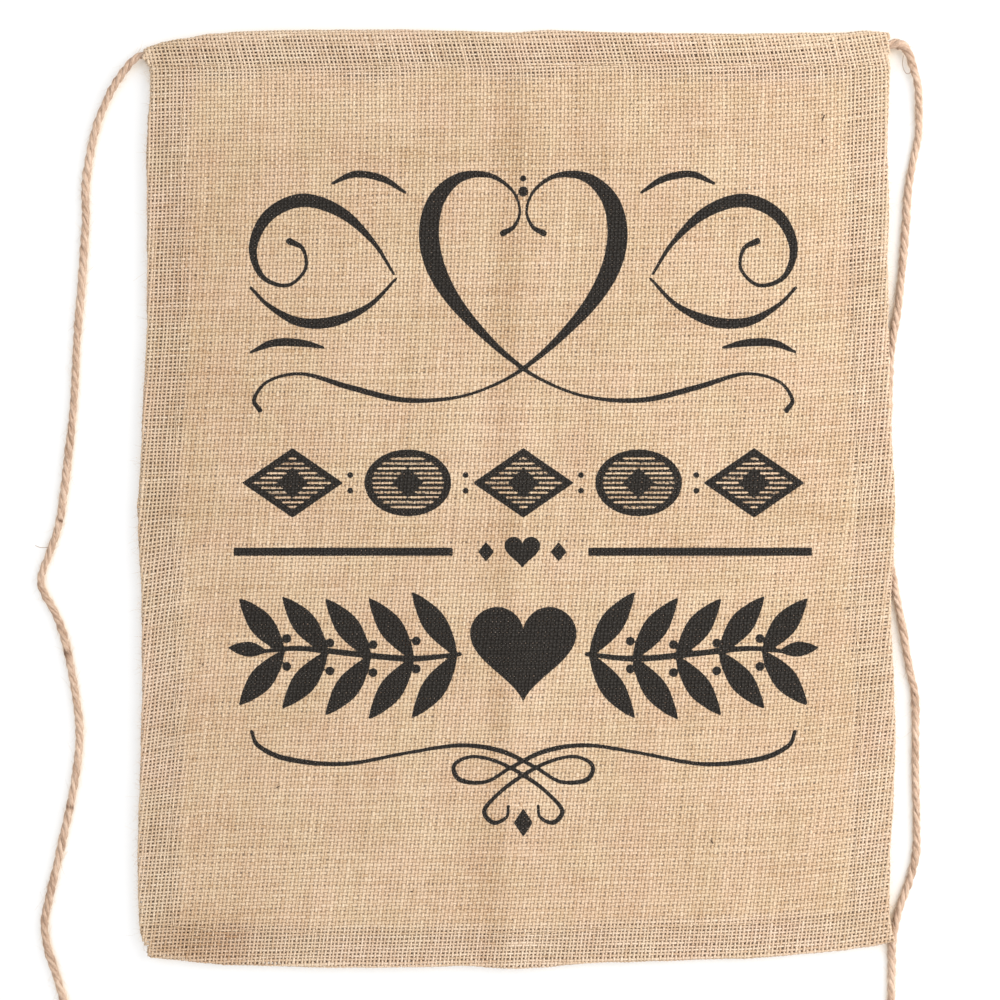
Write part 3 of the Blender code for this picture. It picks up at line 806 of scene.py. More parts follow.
def tile_of(yarn):
    """The number of the tile that each stretch of yarn belongs to, -1 for none."""
    part, x, z = yarn["part"], yarn["x"], yarn["z"]
    column = (x[..., None] > COLUMN_CUTS).sum(-1)
    lower = z <= CREASE_Z
    tile = np.where(lower, LOWER_TILE + 10 * (z < LOWER_CUT_Z) + column,
                    UPPER_TILE + 10 * (z < UPPER_CUT_Z) + column)
    tile = np.where(part == LEFT, LEFT_TILE + 10 * lower, tile)
    tile = np.where(part == RIGHT, RIGHT_TILE + 10 * lower, tile)
    tile = np.where(part == BOTTOM, BOTTOM_TILE + (x > 0), tile)
    tile = np.where(part == CASING, CASING_TILE + (x > 0), tile)
    in_band = (np.abs(z - CREASE_Z) < BAND) & (part != BOTTOM) & (part != CASING)
    tile = np.where(in_band, CREASE_TILE + (x > 0), tile)
    return np.where(yarn["there"], tile, -1)


tile_maps = [tile_of(yarn) for yarn in families]


def yarn_ends(there, i, k):
    """Which of the stretches k of yarns i have no cloth before them, and none after."""
    last = there.shape[1] - 1
    return (np.where(k > 0, ~there[i, np.maximum(k - 1, 0)], True),
            np.where(k < last, ~there[i, np.minimum(k + 1, last)], True))


def build_tile(tile, name):
    verts, flat, quads, tris = [], [], [], []
    quad_mats, tri_mats, quad_zones, tri_zones = [], [], [], []
    marks = {"tone": [], "ink": [], "crest": [], "press": []}
    base = 0
    # a zone is a quarter of the map: by the front or back of the yarn, and by family
    face_angle = np.pi / 2 + 2 * np.pi * (np.arange(SIDES) + 0.5) / SIDES
    is_back = np.where(np.sin(face_angle) > 0, 0, 1)
    for family, (yarn, tiles) in enumerate(zip(families, tile_maps)):
        i, k = np.nonzero(tiles == tile)
        if not len(i):
            continue
        first_ring = i * yarn["rings"].shape[1] + k
        ring_ids = np.unique(np.concatenate([first_ring, first_ring + 1]))
        start = np.searchsorted(ring_ids, first_ring)
        end = np.searchsorted(ring_ids, first_ring + 1)
        verts.append(yarn["rings"].reshape(-1, SIDES, 3)[ring_ids].reshape(-1, 3))
        flat.append(yarn["flat"].reshape(-1, SIDES, 2)[ring_ids].reshape(-1, 2))
        for mark, values in marks.items():
            values.append(yarn[mark].reshape(-1, SIDES)[ring_ids].ravel())
        walls = []
        for m in range(SIDES):
            o = (m + 1) % SIDES
            walls.append(np.stack([start * SIDES + m, end * SIDES + m,
                                   end * SIDES + o, start * SIDES + o], 1))
        walls = np.stack(walls, 1)
        quads.append(walls.reshape(-1, 4) + base)
        quad_zones.append(np.broadcast_to(is_back + 2 * family, walls.shape[:2]).ravel())
        quad_mats.append(np.full(len(i) * SIDES, family))
        # close the cut ends of the yarns
        ends_before, ends_after = yarn_ends(yarn["there"], i, k)
        for rows, order in ((start[ends_before], 1), (end[ends_after], -1)):
            for m in range(1, SIDES - 1):
                cap = np.stack([rows * SIDES, rows * SIDES + m, rows * SIDES + m + 1], 1)
                tris.append(cap[:, ::order] + base)
                tri_zones.append(np.full(len(cap), 2 * family))
                tri_mats.append(np.full(len(cap), family))
        base += len(ring_ids) * SIDES
    quads, tris = np.concatenate(quads), np.concatenate(tris)
    corner = np.concatenate(flat)[np.concatenate([quads.ravel(), tris.ravel()])]
    zone = np.concatenate([np.repeat(np.concatenate(quad_zones), 4),
                           np.repeat(np.concatenate(tri_zones), 3)])
    low, high = corner.min(0), corner.max(0)
    uv = 0.012 + 0.476 * (corner - low) / (high - low)
    uv[:, 0] += 0.5 * (zone % 2)
    uv[:, 1] += 0.5 * (zone // 2)
    return make_mesh(name, np.concatenate(verts), quads, tris, [warp_mat, weft_mat],
                     {mark: np.concatenate(values) for mark, values in marks.items()}, uv,
                     np.concatenate(quad_mats + tri_mats))


def add_tile(tile, name, body, node):
    register(build_tile(tile, name), body, (node,))


for c, column in enumerate(("left", "mid", "right")):
    for r, row in enumerate(("top", "low")):
        for first, level in ((UPPER_TILE, "upper"), (LOWER_TILE, "lower")):
            add_tile(first + 10 * r + c, f"cloth_{level}_{row}_{column}", f"{level}_banner",
                     f"{level}_panel")
for first, side in ((LEFT_TILE, "left"), (RIGHT_TILE, "right")):
    for r, level in enumerate(("upper", "lower")):
        add_tile(first + 10 * r, f"turned_hem_{level}_{side}", f"{level}_banner",
                 f"{side}_hem_{level}")
for c, side in enumerate(("left", "right")):
    add_tile(BOTTOM_TILE + c, f"turned_hem_bottom_{side}", "lower_banner", "bottom_hem")
for c, side in enumerate(("left", "right")):
    add_tile(CASING_TILE + c, f"casing_{side}", "upper_banner", "top_casing")
for c, (side, level) in enumerate((("left", "upper"), ("right", "lower"))):
    add_tile(CREASE_TILE + c, f"cloth_at_crease_{side}", None, f"{level}_panel")


# ----------------------------------------------------------------- thin tubes
def tubes(paths, radius, sides, tone):
    """Many short tubes at once: paths (n, m, 3), radius a number or (n, m), tone (n,)."""
    count, length = paths.shape[:2]
    tangent = unit(np.gradient(paths, axis=1))
    aside = np.where(np.abs(tangent[..., 1:2]) < 0.8, np.array([0.0, 1.0, 0.0]),
                     np.array([1.0, 0.0, 0.0]))
    across = unit(np.cross(tangent, aside))
    other = np.cross(across, tangent)
    radius = np.broadcast_to(np.asarray(radius, float), (count, length))
    angle = 2 * np.pi * np.arange(sides) / sides
    rings = (paths[:, :, None]
             + (across[:, :, None] * np.cos(angle)[:, None]
                + other[:, :, None] * np.sin(angle)[:, None]) * radius[..., None, None])
    ids = np.arange(count * length * sides).reshape(count, length, sides)
    following = np.roll(ids, -1, 2)
    quads = np.stack([ids[:, :-1], following[:, :-1], following[:, 1:], ids[:, 1:]],
                     -1).reshape(-1, 4)
    tris = []
    for k in range(1, sides - 1):
        tris.append(np.stack([ids[:, 0, 0], ids[:, 0, k + 1], ids[:, 0, k]], 1))
        tris.append(np.stack([ids[:, -1, 0], ids[:, -1, k], ids[:, -1, k + 1]], 1))
    return rings.reshape(-1, 3), quads, np.concatenate(tris), np.repeat(tone, length * sides)


def tube_piece(name, material, paths, radius, sides, tone):
    """A mesh of thin tubes, mapped plainly from the front."""
    verts, quads, tris, tone = tubes(paths, radius, sides, tone)
    low, high = verts.min(0), verts.max(0)
    scaled = (verts - low) / np.maximum(high - low, 1e-6)
    uv = 0.02 + 0.96 * scaled[np.concatenate([quads.ravel(), tris.ravel()])][:, [0, 2]]
    return make_mesh(name, verts, quads, tris, [material], {"tone": tone}, uv)


# ------------------------------------------------------------------- stitching
STITCH, STITCH_GAP = 3.5, 0.35
THREAD_RADIUS = 0.21
FACE_STITCH_Y = -6.95
HEM_SEAM = HEM - 1.6            # the stitching's distance from the edge
STITCH_RISE = np.array([-0.62, -0.12, 0.10, 0.14, 0.10, -0.12, -0.62])


def stitch_row(points, y, out):
    """Lockstitches along a polyline of (x, z): each rises from one needle hole and dives
    into the next. out is -1 on the face, +1 behind."""
    points = np.array(points, float)
    lengths = np.concatenate([[0], np.cumsum(np.hypot(*np.diff(points, axis=0).T))])
    index = np.arange(int(lengths[-1] / STITCH))
    run = (index * STITCH)[:, None] + STITCH_GAP / 2 + np.linspace(0, 1, 7) * (
        STITCH - STITCH_GAP)
    jitter = 0.10 * random_at(index * 91 + int(abs(points[0, 0]) * 7))[:, None]
    x = np.interp(run, lengths, points[:, 0]) + jitter
    z = np.interp(run, lengths, points[:, 1])
    return np.stack([x, y + out * STITCH_RISE + relief(x, z), z], -1)


def thread_piece(name, rows, node, body, span=None):
    """Stitches as one piece; span keeps those between a low and a high z."""
    paths = np.concatenate(rows)
    if span is not None:
        mid_z = paths[:, 3, 2]
        paths = paths[(mid_z > span[0]) & (mid_z <= span[1])]
    tone = 0.5 + 0.2 * random_at(np.arange(len(paths)) * 37)
    piece = tube_piece(name, thread_mat, paths, THREAD_RADIUS, 5, tone)
    register(piece, body, (node,))


hem_rows = {}                   # the rows on the face and behind, by side
for sign, side in ((-1, "left"), (1, "right")):
    line = [(sign * (float(half_width(sign, z)) - HEM_SEAM), z)
            for z in np.arange(-9.5, -474.0, -2.0)]
    hem_rows[side] = [stitch_row(line, FACE_STITCH_Y, -1), stitch_row(line, BACK_Y + 0.42, 1)]
for side, (face_row, back_row) in hem_rows.items():
    for level, span in (("upper", (band_top, 99)), ("lower", (-999, band_low))):
        thread_piece(f"{side}_hem_stitches_{level}", [face_row],
                     f"{side}_hem_needle_thread_{level}", f"{level}_banner", span)
        thread_piece(f"{side}_hem_bobbin_stitches_{level}", [back_row],
                     f"{side}_hem_bobbin_thread_{level}", f"{level}_banner", span)
thread_piece("hem_stitches_at_crease", hem_rows["left"] + hem_rows["right"],
             "left_hem_needle_thread_lower", None, (band_low, band_top))
for name, seam, body, line, back_y in (
        ("bottom_hem", "bottom_hem", "lower_banner",
         [(x, float(bottom_z(x)) + HEM_SEAM) for x in np.arange(-196.5, 194.0, 2.0)],
         BACK_Y + 0.45),
        ("casing", "casing_seam", "upper_banner",
         [(x, SEAM_Z + 1.1) for x in np.arange(-197.5, 195.0, 2.0)], -4.5)):
    thread_piece(f"{name}_stitches", [stitch_row(line, FACE_STITCH_Y, -1)],
                 f"{seam}_needle_thread", body)
    thread_piece(f"{name}_bobbin_stitches", [stitch_row(line, back_y, 1)],
                 f"{seam}_bobbin_thread", body)

# ------------------------------------------------------------------------ cord
CORD_Y, TABLE_Y = -3.4, -1.1    # the cord's centre in the casing, and lying on its own
# (x, z) of the tails, from the casing's mouths down
LEFT_LINE = [(-201.0, -1.6), (-204.8, -2.5), (-208.6, -5.3), (-214.0, -11.9), (-219.9, -20.8),
             (-224.9, -31.4), (-228.9, -42.2), (-232.4, -58.3), (-234.3, -74.5),
             (-234.2, -91.0), (-236.2, -123.0), (-238.9, -155.4), (-240.5, -187.8),
             (-243.8, -220.1), (-248.1, -252.5), (-253.2, -268.7), (-258.4, -284.2),
             (-256.4, -292.6), (-251.4, -301.2), (-245.4, -317.2), (-239.2, -349.6),
             (-237.5, -371.0), (-240.8, -398.1), (-247.8, -430.5), (-253.0, -453.0),
             (-256.4, -470.0), (-254.6, -484.0), (-251.0, -495.2), (-244.5, -518.0),
             (-240.5, -538.0), (-240.0, -560.0)]
RIGHT_LINE = [(198.0, 3.2), (204.3, 4.0), (208.7, 0.6), (212.0, -8.0), (214.1, -15.2),
              (215.3, -24.0), (215.5, -42.2), (214.4, -50.2), (212.5, -58.3), (209.8, -74.5),
              (208.7, -90.7), (207.4, -106.9), (206.0, -123.1), (204.1, -139.2),
              (201.4, -155.4), (199.8, -171.6), (199.3, -187.8), (198.7, -204.0),
              (199.0, -235.0), (199.5, -268.0), (201.7, -284.8), (204.9, -301.0),
              (207.9, -317.2), (210.6, -333.4), (213.6, -349.6), (213.7, -385.0),
              (214.4, -420.0), (214.0, -433.0), (210.6, -446.6), (204.9, -462.8),
              (201.4, -479.0), (200.9, -495.2), (200.5, -520.0), (200.0, -562.0)]
# where the tails bend, along each from its mouth
LEFT_JOINTS = [9.0, 47.4, 254.3, 296.8, 352.4, 488.3]
RIGHT_JOINTS = [10.5, 34.0, 222.4, 443.4, 482.5]
TAIL_LENGTH = 566.0
CASING_OVERLAP = 6.0            # how far a tail's first piece goes into the casing
LAY = 19.0                      # length of one turn of the cord
PLY_SIDES = 12
PLIES = 3
CORD_STEP = 0.5


def tail_curve(line):
    rows = curve(line, step=0.6)
    return rows, np.concatenate([[0], np.cumsum(np.hypot(*np.diff(rows, axis=0).T))])


tails = {"left": tail_curve(LEFT_LINE), "right": tail_curve(RIGHT_LINE)}


def tail_at(side, run):
    rows, lengths = tails[side]
    run = np.clip(np.asarray(run, float), 0, TAIL_LENGTH)
    y = CORD_Y + (TABLE_Y - CORD_Y) * smooth(6.0, 66.0, run)
    return np.stack([np.interp(run, lengths, rows[:, 0]), y,
                     np.interp(run, lengths, rows[:, 1])], -1)


left_mouth, right_mouth = tail_at("left", 0.0), tail_at("right", 0.0)
casing_run = float(np.linalg.norm(right_mouth - left_mouth))
# along the cord's whole length: negative down the left tail, 0 at the left mouth
cord_run = np.arange(-TAIL_LENGTH, casing_run + TAIL_LENGTH + CORD_STEP / 2, CORD_STEP)


def cord_at(run):
    run = np.asarray(run, float)
    part = np.clip(run / casing_run, 0, 1)[..., None]
    middle = left_mouth * (1 - part) + right_mouth * part
    return np.where((run < 0)[..., None], tail_at("left", -run),
                    np.where((run > casing_run)[..., None],
                             tail_at("right", run - casing_run), middle))


centre = cord_at(cord_run)
kernel = np.hanning(13)
kernel /= kernel.sum()
padded = np.vstack([np.repeat(centre[:1], 6, 0), centre, np.repeat(centre[-1:], 6, 0)])
centre = np.stack([np.convolve(padded[:, axis], kernel, "valid") for axis in range(3)], 1)
cord_tangent = unit(np.gradient(centre, axis=0))
cord_side = unit(np.cross(cord_tangent, np.tile([0.0, -1.0, 0.0], (len(centre), 1))))
cord_front = np.cross(cord_side, cord_tangent)

lay_phase = 2 * np.pi * (cord_run / LAY + 0.10 * noise1(31, cord_run / 40.0))
# the cord is squeezed a little inside the casing, and swollen just outside its right mouth
outside = np.maximum(-cord_run, cord_run - casing_run)
past_right = cord_run - casing_run
fullness = (0.97 + 0.10 * smooth(2.0, 14.0, outside)
            + 0.10 * noise1(75, cord_run / 13.0) * smooth(4.0, 20.0, outside)
            + 0.48 * np.exp(-((past_right - 6.2) / 4.4) ** 2) * smooth(0.5, 3.0, past_right))
# dark spots: (place along the cord, half length, strength on each ply)
DARK_SPOTS = [(-263.0, 0.9, (0.5, 0.0, 0.1)), (-339.0, 2.0, (0.4, 0.4, 0.2)),
              (-423.0, 1.5, (0.2, 0.4, 0.4)), (casing_run + 300.0, 1.5, (0.4, 0.3, 0.1))]


def cord_ply(ply):
    """The rings and tones of one ply, over the whole cord."""
    phase = lay_phase + 2 * np.pi * ply / PLIES
    size = fullness * (1.0 + 0.07 * noise1(41 + ply, cord_run / 9.0)
                       + 0.05 * noise1(47 + ply, cord_run / 2.3))
    middle = centre + (cord_side * np.cos(phase)[:, None]
                       + cord_front * np.sin(phase)[:, None]) * (0.86 * fullness)[:, None]
    angle = 2 * np.pi * np.arange(PLY_SIDES) / PLY_SIDES
    # strands of fibre run round each ply against the lay of the cord
    twist = angle[None, :] * 7 / (2 * np.pi) + (cord_run / 5.2)[:, None]
    groove = (0.10 * noise1(51 + ply, (twist * 2.0) % 64)
              + 0.05 * noise2(angle[None, :] * 3, cord_run[:, None] / 0.9, 5 + ply))
    radius = 1.16 * size[:, None] * (1 + groove)
    turn = angle[None, :] + phase[:, None]
    rings = middle[:, None] + (cord_side[:, None] * np.cos(turn)[..., None]
                               + cord_front[:, None] * np.sin(turn)[..., None]
                               ) * radius[..., None]
    tone = (0.55 + 0.13 * noise1(61 + ply, cord_run / 15.0)[:, None] + 1.7 * groove
            + 0.06 * noise1(66 + ply, cord_run / 2.0)[:, None])
    # painted shade: the seam between the plies is darker, as shade falls there
    seam_shade = 0.15 + 0.16 * noise1(71 + ply, cord_run / 6.0)[:, None]
    tone = tone - seam_shade * smooth(0.35, -0.6, np.cos(angle)[None, :])
    for spot, half_length, strength in DARK_SPOTS:
        dark = strength[ply] * np.exp(-((cord_run - spot) / half_length) ** 2)
        tone = tone - dark[:, None]
    return rings, tone


cord_plies = [cord_ply(ply) for ply in range(PLIES)]

hair_rng = np.random.default_rng(5)
# single thick fibres that have worked loose: (x, z)
STRAYS = {"left_cord_bend_3": [(-261.1, -266.2), (-259.4, -267.0), (-257.8, -267.4),
                               (-255.4, -267.3), (-253.6, -267.0)],
          "right_cord_bend_1": [(207.0, -2.0), (206.6, -5.0), (206.7, -8.0), (207.9, -11.0),
                                (209.6, -12.0), (211.0, -10.6), (211.5, -8.0),
                                (211.2, -4.4)]}
HAIRS_PER_MM = 1.9


def hairs_on_cord(start, end):
    count = int((end - start) * HAIRS_PER_MM)
    run = hair_rng.uniform(start, end, count)
    k = np.clip(((run - cord_run[0]) / CORD_STEP).astype(int), 0, len(cord_run) - 1)
    turn = hair_rng.uniform(0, 2 * np.pi, count)
    outward = cord_side[k] * np.cos(turn)[:, None] + cord_front[k] * np.sin(turn)[:, None]
    sense = np.where(hair_rng.uniform(size=count) < 0.5, 1.0, -1.0)
    length = hair_rng.gamma(3.0, 1.15, count) + 1.5
    spread = hair_rng.uniform(0.10, 0.55, count)
    around = np.cross(cord_tangent[k], outward)
    sway = hair_rng.normal(0, 0.35, count)
    part = np.linspace(0, 1, 5)[None, :, None]
    along_cord = cord_tangent[k] * sense[:, None]
    paths = (centre[k] + outward * 1.75)[:, None] + (
        along_cord[:, None] * part * length[:, None, None]
        + outward[:, None] * (part ** 1.6) * (length * spread)[:, None, None]
        + around[:, None] * (part ** 2) * (length * sway)[:, None, None])
    # nothing hangs behind the surface it lies on
    paths[..., 1] = np.minimum(paths[..., 1], 0.95)
    taper = 0.055 * (1 - 0.6 * np.linspace(0, 1, 5))[None]
    radius = taper * hair_rng.uniform(0.7, 1.3, count)[:, None]
    return paths, radius, hair_rng.uniform(0.25, 0.85, count)


def tiny_uv(count, corners):
    """Faces all mapped to one small spot."""
    return 0.5 + 0.001 * np.tile(corners, (count, 1))


def ply_uv(ply, length):
    """The map of a ply: long strips, one under another."""
    strips = max(1, int(round(math.sqrt(length * CORD_STEP / 7.0))))
    per_strip = int(math.ceil((length - 1) / strips))
    row = np.repeat(np.arange(length - 1), PLY_SIDES)
    column = np.tile(np.arange(PLY_SIDES), length - 1)
    strip, along_strip = row // per_strip, row % per_strip
    high = 1.0 / (strips * PLIES)
    low = (strip * PLIES + ply) * high
    corners = [np.stack([0.01 + 0.98 * (along_strip + on) / per_strip,
                         low + high * (0.08 + 0.84 * (column + up) / PLY_SIDES)], 1)
               for up, on in ((0, 0), (1, 0), (1, 1), (0, 1))]
    return np.stack(corners, 1).reshape(-1, 2)


def cord_piece(name, start, end, node):
    """The cord from start to end, with its loose hairs."""
    last = len(cord_run) - 1
    k0 = np.searchsorted(cord_run, start - 1e-6)
    k1 = min(np.searchsorted(cord_run, end - 1e-6), last)
    length = k1 - k0 + 1
    verts, quads, caps, tone, uvs = [], [], [], [], []
    ids = np.arange(length * PLY_SIDES).reshape(length, PLY_SIDES)
    following = np.roll(ids, -1, 1)
    walls = np.stack([ids[:-1], following[:-1], following[1:], ids[1:]], -1).reshape(-1, 4)
    ends = []
    if k0 == 0:
        ends.append(ids[0][::-1])
    if k1 == last:
        ends.append(ids[-1])
    base = 0
    for ply, (rings, tones) in enumerate(cord_plies):
        verts.append(rings[k0:k1 + 1].reshape(-1, 3))
        tone.append(tones[k0:k1 + 1].ravel())
        quads.append(walls + base)
        uvs.append(ply_uv(ply, length))
        for ring in ends:
            for k in range(1, PLY_SIDES - 1):
                caps.append([ring[0] + base, ring[k] + base, ring[k + 1] + base])
        base += length * PLY_SIDES
    caps = np.array(caps, int).reshape(-1, 3)
    hairs = [tubes(*hairs_on_cord(cord_run[k0], cord_run[k1])[:2], 3, None)] if False else []
    paths, radius, hair_tone = hairs_on_cord(cord_run[k0], cord_run[k1])
    hairs.append(tubes(paths, radius, 3, hair_tone))
    if name in STRAYS:
        x, z = curve(STRAYS[name], step=0.5).T
        stray = np.stack([x, np.full(len(x), -2.4), z], -1)[None]
        hairs.append(tubes(stray, 0.15, 5, np.array([0.12])))
    ply_quads = len(walls) * PLIES
    hair_tris = []
    for hair_verts, hair_quads, ends_of_hair, hair_tones in hairs:
        verts.append(hair_verts)
        tone.append(hair_tones)
        quads.append(hair_quads + base)
        hair_tris.append(ends_of_hair + base)
        base += len(hair_verts)
    quads, tris = np.concatenate(quads), np.concatenate([caps] + hair_tris)
    uvs.append(tiny_uv(len(quads) - ply_quads, [[0, 0], [1, 0], [1, 1], [0, 1]]))
    uvs.append(tiny_uv(len(tris), [[0, 0], [1, 0], [1, 1]]))
    face_mats = np.repeat([0, 1, 0, 1], [ply_quads, len(quads) - ply_quads,
                                         len(caps), len(tris) - len(caps)])
    piece = make_mesh(name, np.concatenate(verts), quads, tris, [cord_mat, hair_mat],
                      {"tone": np.concatenate(tone)}, np.concatenate(uvs), face_mats)
    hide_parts(node)
    return piece


for side, joints, sign, mouth in (("left", LEFT_JOINTS, -1.0, 0.0),
                                  ("right", RIGHT_JOINTS, 1.0, casing_run)):
    cuts = [-CASING_OVERLAP] + [(a + b) / 2 for a, b in zip(joints, joints[1:])] + [TAIL_LENGTH]
    for k, joint in enumerate(joints):
        near, far = cuts[k], cuts[k + 1]
        start, end = sorted((mouth + sign * near, mouth + sign * far))
        piece = cord_piece(f"{side}_cord_bend_{k + 1}", start, end, f"{side}_tail_{k + 1}")
        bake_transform(piece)
cord_in_casing = cord_piece("cord_through_casing", CASING_OVERLAP,
                            casing_run - CASING_OVERLAP, "cord_in_casing")
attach(cord_in_casing, "cord")


# ------------------------------------------------------------- loose surface hair
def cloth_hairs(name, body, count, low, high):
    """Loose fibres on the face and along the side edges, between two heights."""
    x = hair_rng.uniform(-198, 196, count)
    z = hair_rng.uniform(low, high, count)
    on_edge = hair_rng.uniform(size=count) < 0.3
    side = np.where(hair_rng.uniform(size=count) < 0.5, -1.0, 1.0)
    left, right = half_width(-1, z), half_width(1, z)
    x = np.where(on_edge, side * (np.where(side < 0, left, right) - 0.4),
                 np.clip(x, -left + 2, right - 2))
    y = np.where(on_edge, -5.4, FACE_Y - 0.5) + relief(x, z)
    # the ink has glued down the fibres it covers
    free = on_edge | (ink_at(x, z) > 2.5)
    x, y, z, on_edge, side = x[free], y[free], z[free], on_edge[free], side[free]
    count = len(x)
    angle = hair_rng.uniform(0, 2 * np.pi, count)
    angle = np.where(on_edge, np.where(side > 0, 0.0, np.pi) + hair_rng.normal(0, 0.9, count),
                     angle)
    length = hair_rng.gamma(3.0, 0.9, count) + 1.0
    bend = hair_rng.normal(0, 0.6, count)
    part = np.linspace(0, 1, 5)[None]
    heading = angle[:, None] + bend[:, None] * part
    step_x = np.cos(heading) * length[:, None] / 4
    step_z = np.sin(heading) * length[:, None] / 4
    path_x = x[:, None] + np.cumsum(step_x, 1) - step_x[:, :1]
    path_z = z[:, None] + np.cumsum(step_z, 1) - step_z[:, :1]
    path_z = np.clip(path_z, low - 0.5, high + 0.5)
    lift = (0.25 + 0.5 * hair_rng.uniform(size=count))[:, None] * np.sin(part * np.pi * 0.8)
    path_y = y[:, None] - lift * np.where(on_edge, 0.3, 1.0)[:, None]
    radius = 0.05 * (1 - 0.55 * part) * hair_rng.uniform(0.7, 1.3, count)[:, None]
    piece = tube_piece(name, hair_mat, np.stack([path_x, path_y, path_z], -1), radius, 3,
                       hair_rng.uniform(0.3, 0.9, count))
    register(piece, body)


cloth_hairs("loose_fibres_upper", "upper_banner", 1300, band_top + 3, -10.0)
cloth_hairs("loose_fibres_lower", "lower_banner", 1500, -486.0, band_low - 3)

# flecks of bark, spun in with the jute: (x, z, length, angle)
bark_mat = fibre_material("jute_bark_fleck", [(0.0, (58, 42, 30)), (1.0, (104, 80, 58))],
                          stretch=(1, 1, 1))
UPPER_FLECKS = [(163.2, -36.4, 3.4, 1.15), (162.9, -48.9, 2.8, 1.57),
                (120.6, -80.6, 1.6, 0.4), (-174.0, -121.0, 1.4, 1.4),
                (60.0, -29.0, 1.2, 0.2), (-86.0, -196.0, 1.3, 2.6)]
LOWER_FLECKS = [(-129.7, -395.8, 2.2, 0.5), (103.4, -425.3, 2.4, 2.2),
                (-58.0, -452.0, 1.3, 0.1), (176.0, -300.0, 1.4, 1.2),
                (-170.0, -330.0, 1.5, 1.6)]
for level, flecks in (("upper", UPPER_FLECKS), ("lower", LOWER_FLECKS)):
    mid_x, mid_z, length, angle = np.array(flecks).T[:, :, None]
    part = np.linspace(-0.5, 0.5, 5)
    x = mid_x + np.cos(angle) * length * part
    z = mid_z + np.sin(angle) * length * part
    y = np.full(x.shape, FACE_Y - 0.72) + relief(x, z)
    piece = tube_piece(f"bark_flecks_{level}", bark_mat, np.stack([x, y, z], -1),
                       0.30 * np.sqrt(1 - (1.7 * part) ** 2), 6,
                       np.linspace(0.2, 0.7, len(flecks)))
    register(piece, f"{level}_banner")

# ------------------------------------------------------------- stage and lights
FLOOR_Z = -0.72
BACKDROP_Y = 0.0012


def sheet(name, corners, material):
    mesh = bpy.data.meshes.new(name)
    mesh.from_pydata(corners, [], [tuple(range(len(corners)))])
    mesh.materials.append(material)
    mesh.update()
    link_object(name, mesh)


def paper_material(name, shade, glow=0.0):
    material, tree, bsdf = new_material(name)
    set_inputs(tree, bsdf, {"Base Color": (shade, shade, shade, 1), "Roughness": 0.9,
                            "Specular IOR Level": 0.1, "Emission Color": (1, 1, 1, 1),
                            "Emission Strength": glow})
    return material


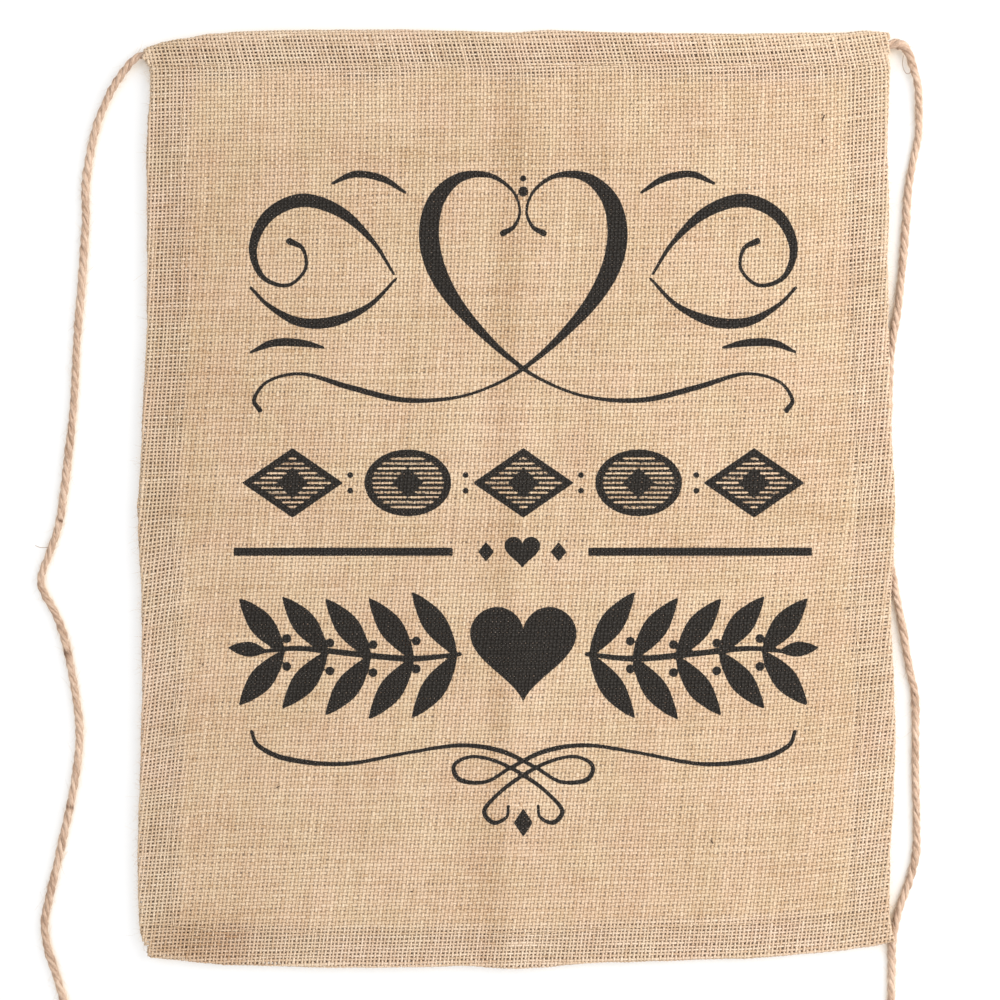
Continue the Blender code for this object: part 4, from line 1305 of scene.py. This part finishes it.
def backdrop_material(name, shade, glow):
    """Glowing paper, there while the camera looks at the banner's face and gone when it
    looks from behind."""
    material = paper_material(name, shade, glow)
    tree = material.node_tree
    bsdf = tree.nodes["Principled BSDF"]
    way = add_node(tree, "VectorTransform", {"Vector": (0, 1, 0)}, vector_type="VECTOR",
                   convert_from="WORLD", convert_to="CAMERA")
    split = add_node(tree, "SeparateXYZ", {"Vector": way.outputs["Vector"]})
    in_front = maths(tree, "GREATER_THAN", split.outputs["Z"], 0.1)
    # in the open the paper glows, lit from within as a lightbox is, which fills in the shadows
    # cast on it; where something lies close in front of it, it is painted a warm tan instead,
    # painted shade for the little light that comes through the jute
    near = add_node(tree, "AmbientOcclusion", {"Distance": 0.013}, samples=6)
    clear = add_node(tree, "MapRange", {"From Min": 0.30, "From Max": 0.80,
                                        "Value": near.outputs["AO"]},
                     interpolation_type="SMOOTHSTEP")
    position = add_node(tree, "NewGeometry").outputs["Position"]
    xyz = add_node(tree, "SeparateXYZ", {"Vector": position})
    # below the banner the paper may stand on a floor, which isn't a shadow
    foot = add_node(tree, "MapRange", {"From Min": -0.528, "From Max": -0.538,
                                       "Value": xyz.outputs["Z"]})
    lit = maths(tree, "MAXIMUM", clear.outputs["Result"], foot.outputs["Result"])
    set_inputs(tree, bsdf, {"Emission Strength": maths(tree, "MULTIPLY", lit, glow)})
    rest = shade - glow * 0.955
    # painted shade: warm tan paper under the banner, pale paper in the open
    paper = mix_colours(tree, lit, (0.90, 0.76, 0.58, 1.0), (rest, rest, rest, 1.0))
    set_inputs(tree, bsdf, {"Base Color": paper})
    # and it makes way for the cord's tails when they swing back
    resting = add_node(tree, "TexCoord", object=cord_in_casing)
    moved = add_node(tree, "VectorMath", {0: resting.outputs["Object"], 1: position},
                     operation="DISTANCE")
    still = maths(tree, "LESS_THAN", moved.outputs["Value"], 0.001)
    shown = maths(tree, "MULTIPLY", in_front, still)
    glass = add_node(tree, "BsdfTransparent")
    mix = add_node(tree, "MixShader", {"Fac": shown, 1: glass.outputs["BSDF"],
                                       2: bsdf.outputs["BSDF"]})
    set_inputs(tree, tree.nodes["Material Output"], {"Surface": mix.outputs["Shader"]})
    return material


sheet("pale_backdrop", [(x, BACKDROP_Y, z) for x, z in
                        ((-3, FLOOR_Z), (3, FLOOR_Z), (3, 3), (-3, 3))],
      backdrop_material("pale_backdrop_paper", shade=0.93, glow=0.66))
sheet("pale_floor", [(x, y, FLOOR_Z) for x, y in ((-40, -40), (40, -40), (40, 40), (-40, 40))],
      paper_material("pale_floor_paper", shade=0.90))


def soft_world():
    """White all round, a little dimmer to everything but the camera."""
    world = bpy.data.worlds.new("soft_studio")
    world.use_nodes = True
    tree = world.node_tree
    path = add_node(tree, "LightPath")
    strength = add_node(tree, "MapRange", {"To Min": 0.93, "To Max": 1.0,
                                           "Value": path.outputs["Is Camera Ray"]})
    set_inputs(tree, tree.nodes["Background"], {"Color": (1.0, 1.0, 1.0, 1),
                                                "Strength": strength.outputs["Result"]})
    bpy.context.scene.world = world


def area_light(name, location, size, power, colour=(1, 1, 1)):
    """A square light aimed at the middle of the banner."""
    data = bpy.data.lights.new(name, "AREA")
    data.shape = "RECTANGLE"
    data.size = data.size_y = size
    data.energy = power
    data.color = colour
    light = link_object(name, data)
    light.location = location
    direction = Vector((0, 0, -0.24)) - Vector(location)
    light.rotation_euler = direction.to_track_quat("-Z", "Y").to_euler()


def add_camera():
    data = bpy.data.cameras.new("camera")
    data.sensor_width = 36.0
    data.lens = 80.4
    data.clip_start, data.clip_end = 0.01, 50.0
    camera = link_object("camera", data)
    camera.location = (-0.0105, -1.2065, -0.2417)
    camera.rotation_euler = (math.pi / 2, 0, 0)
    bpy.context.scene.camera = camera


soft_world()
area_light("key", location=(1.0, -0.95, 0.1), size=1.0, power=19.0, colour=(1.0, 0.99, 0.975))
area_light("behind", location=(-1.0, 1.6, 0.6), size=1.4, power=14.0)
add_camera()
bpy.context.scene.view_settings.view_transform = "Standard"

bpy.context.view_layer.update()
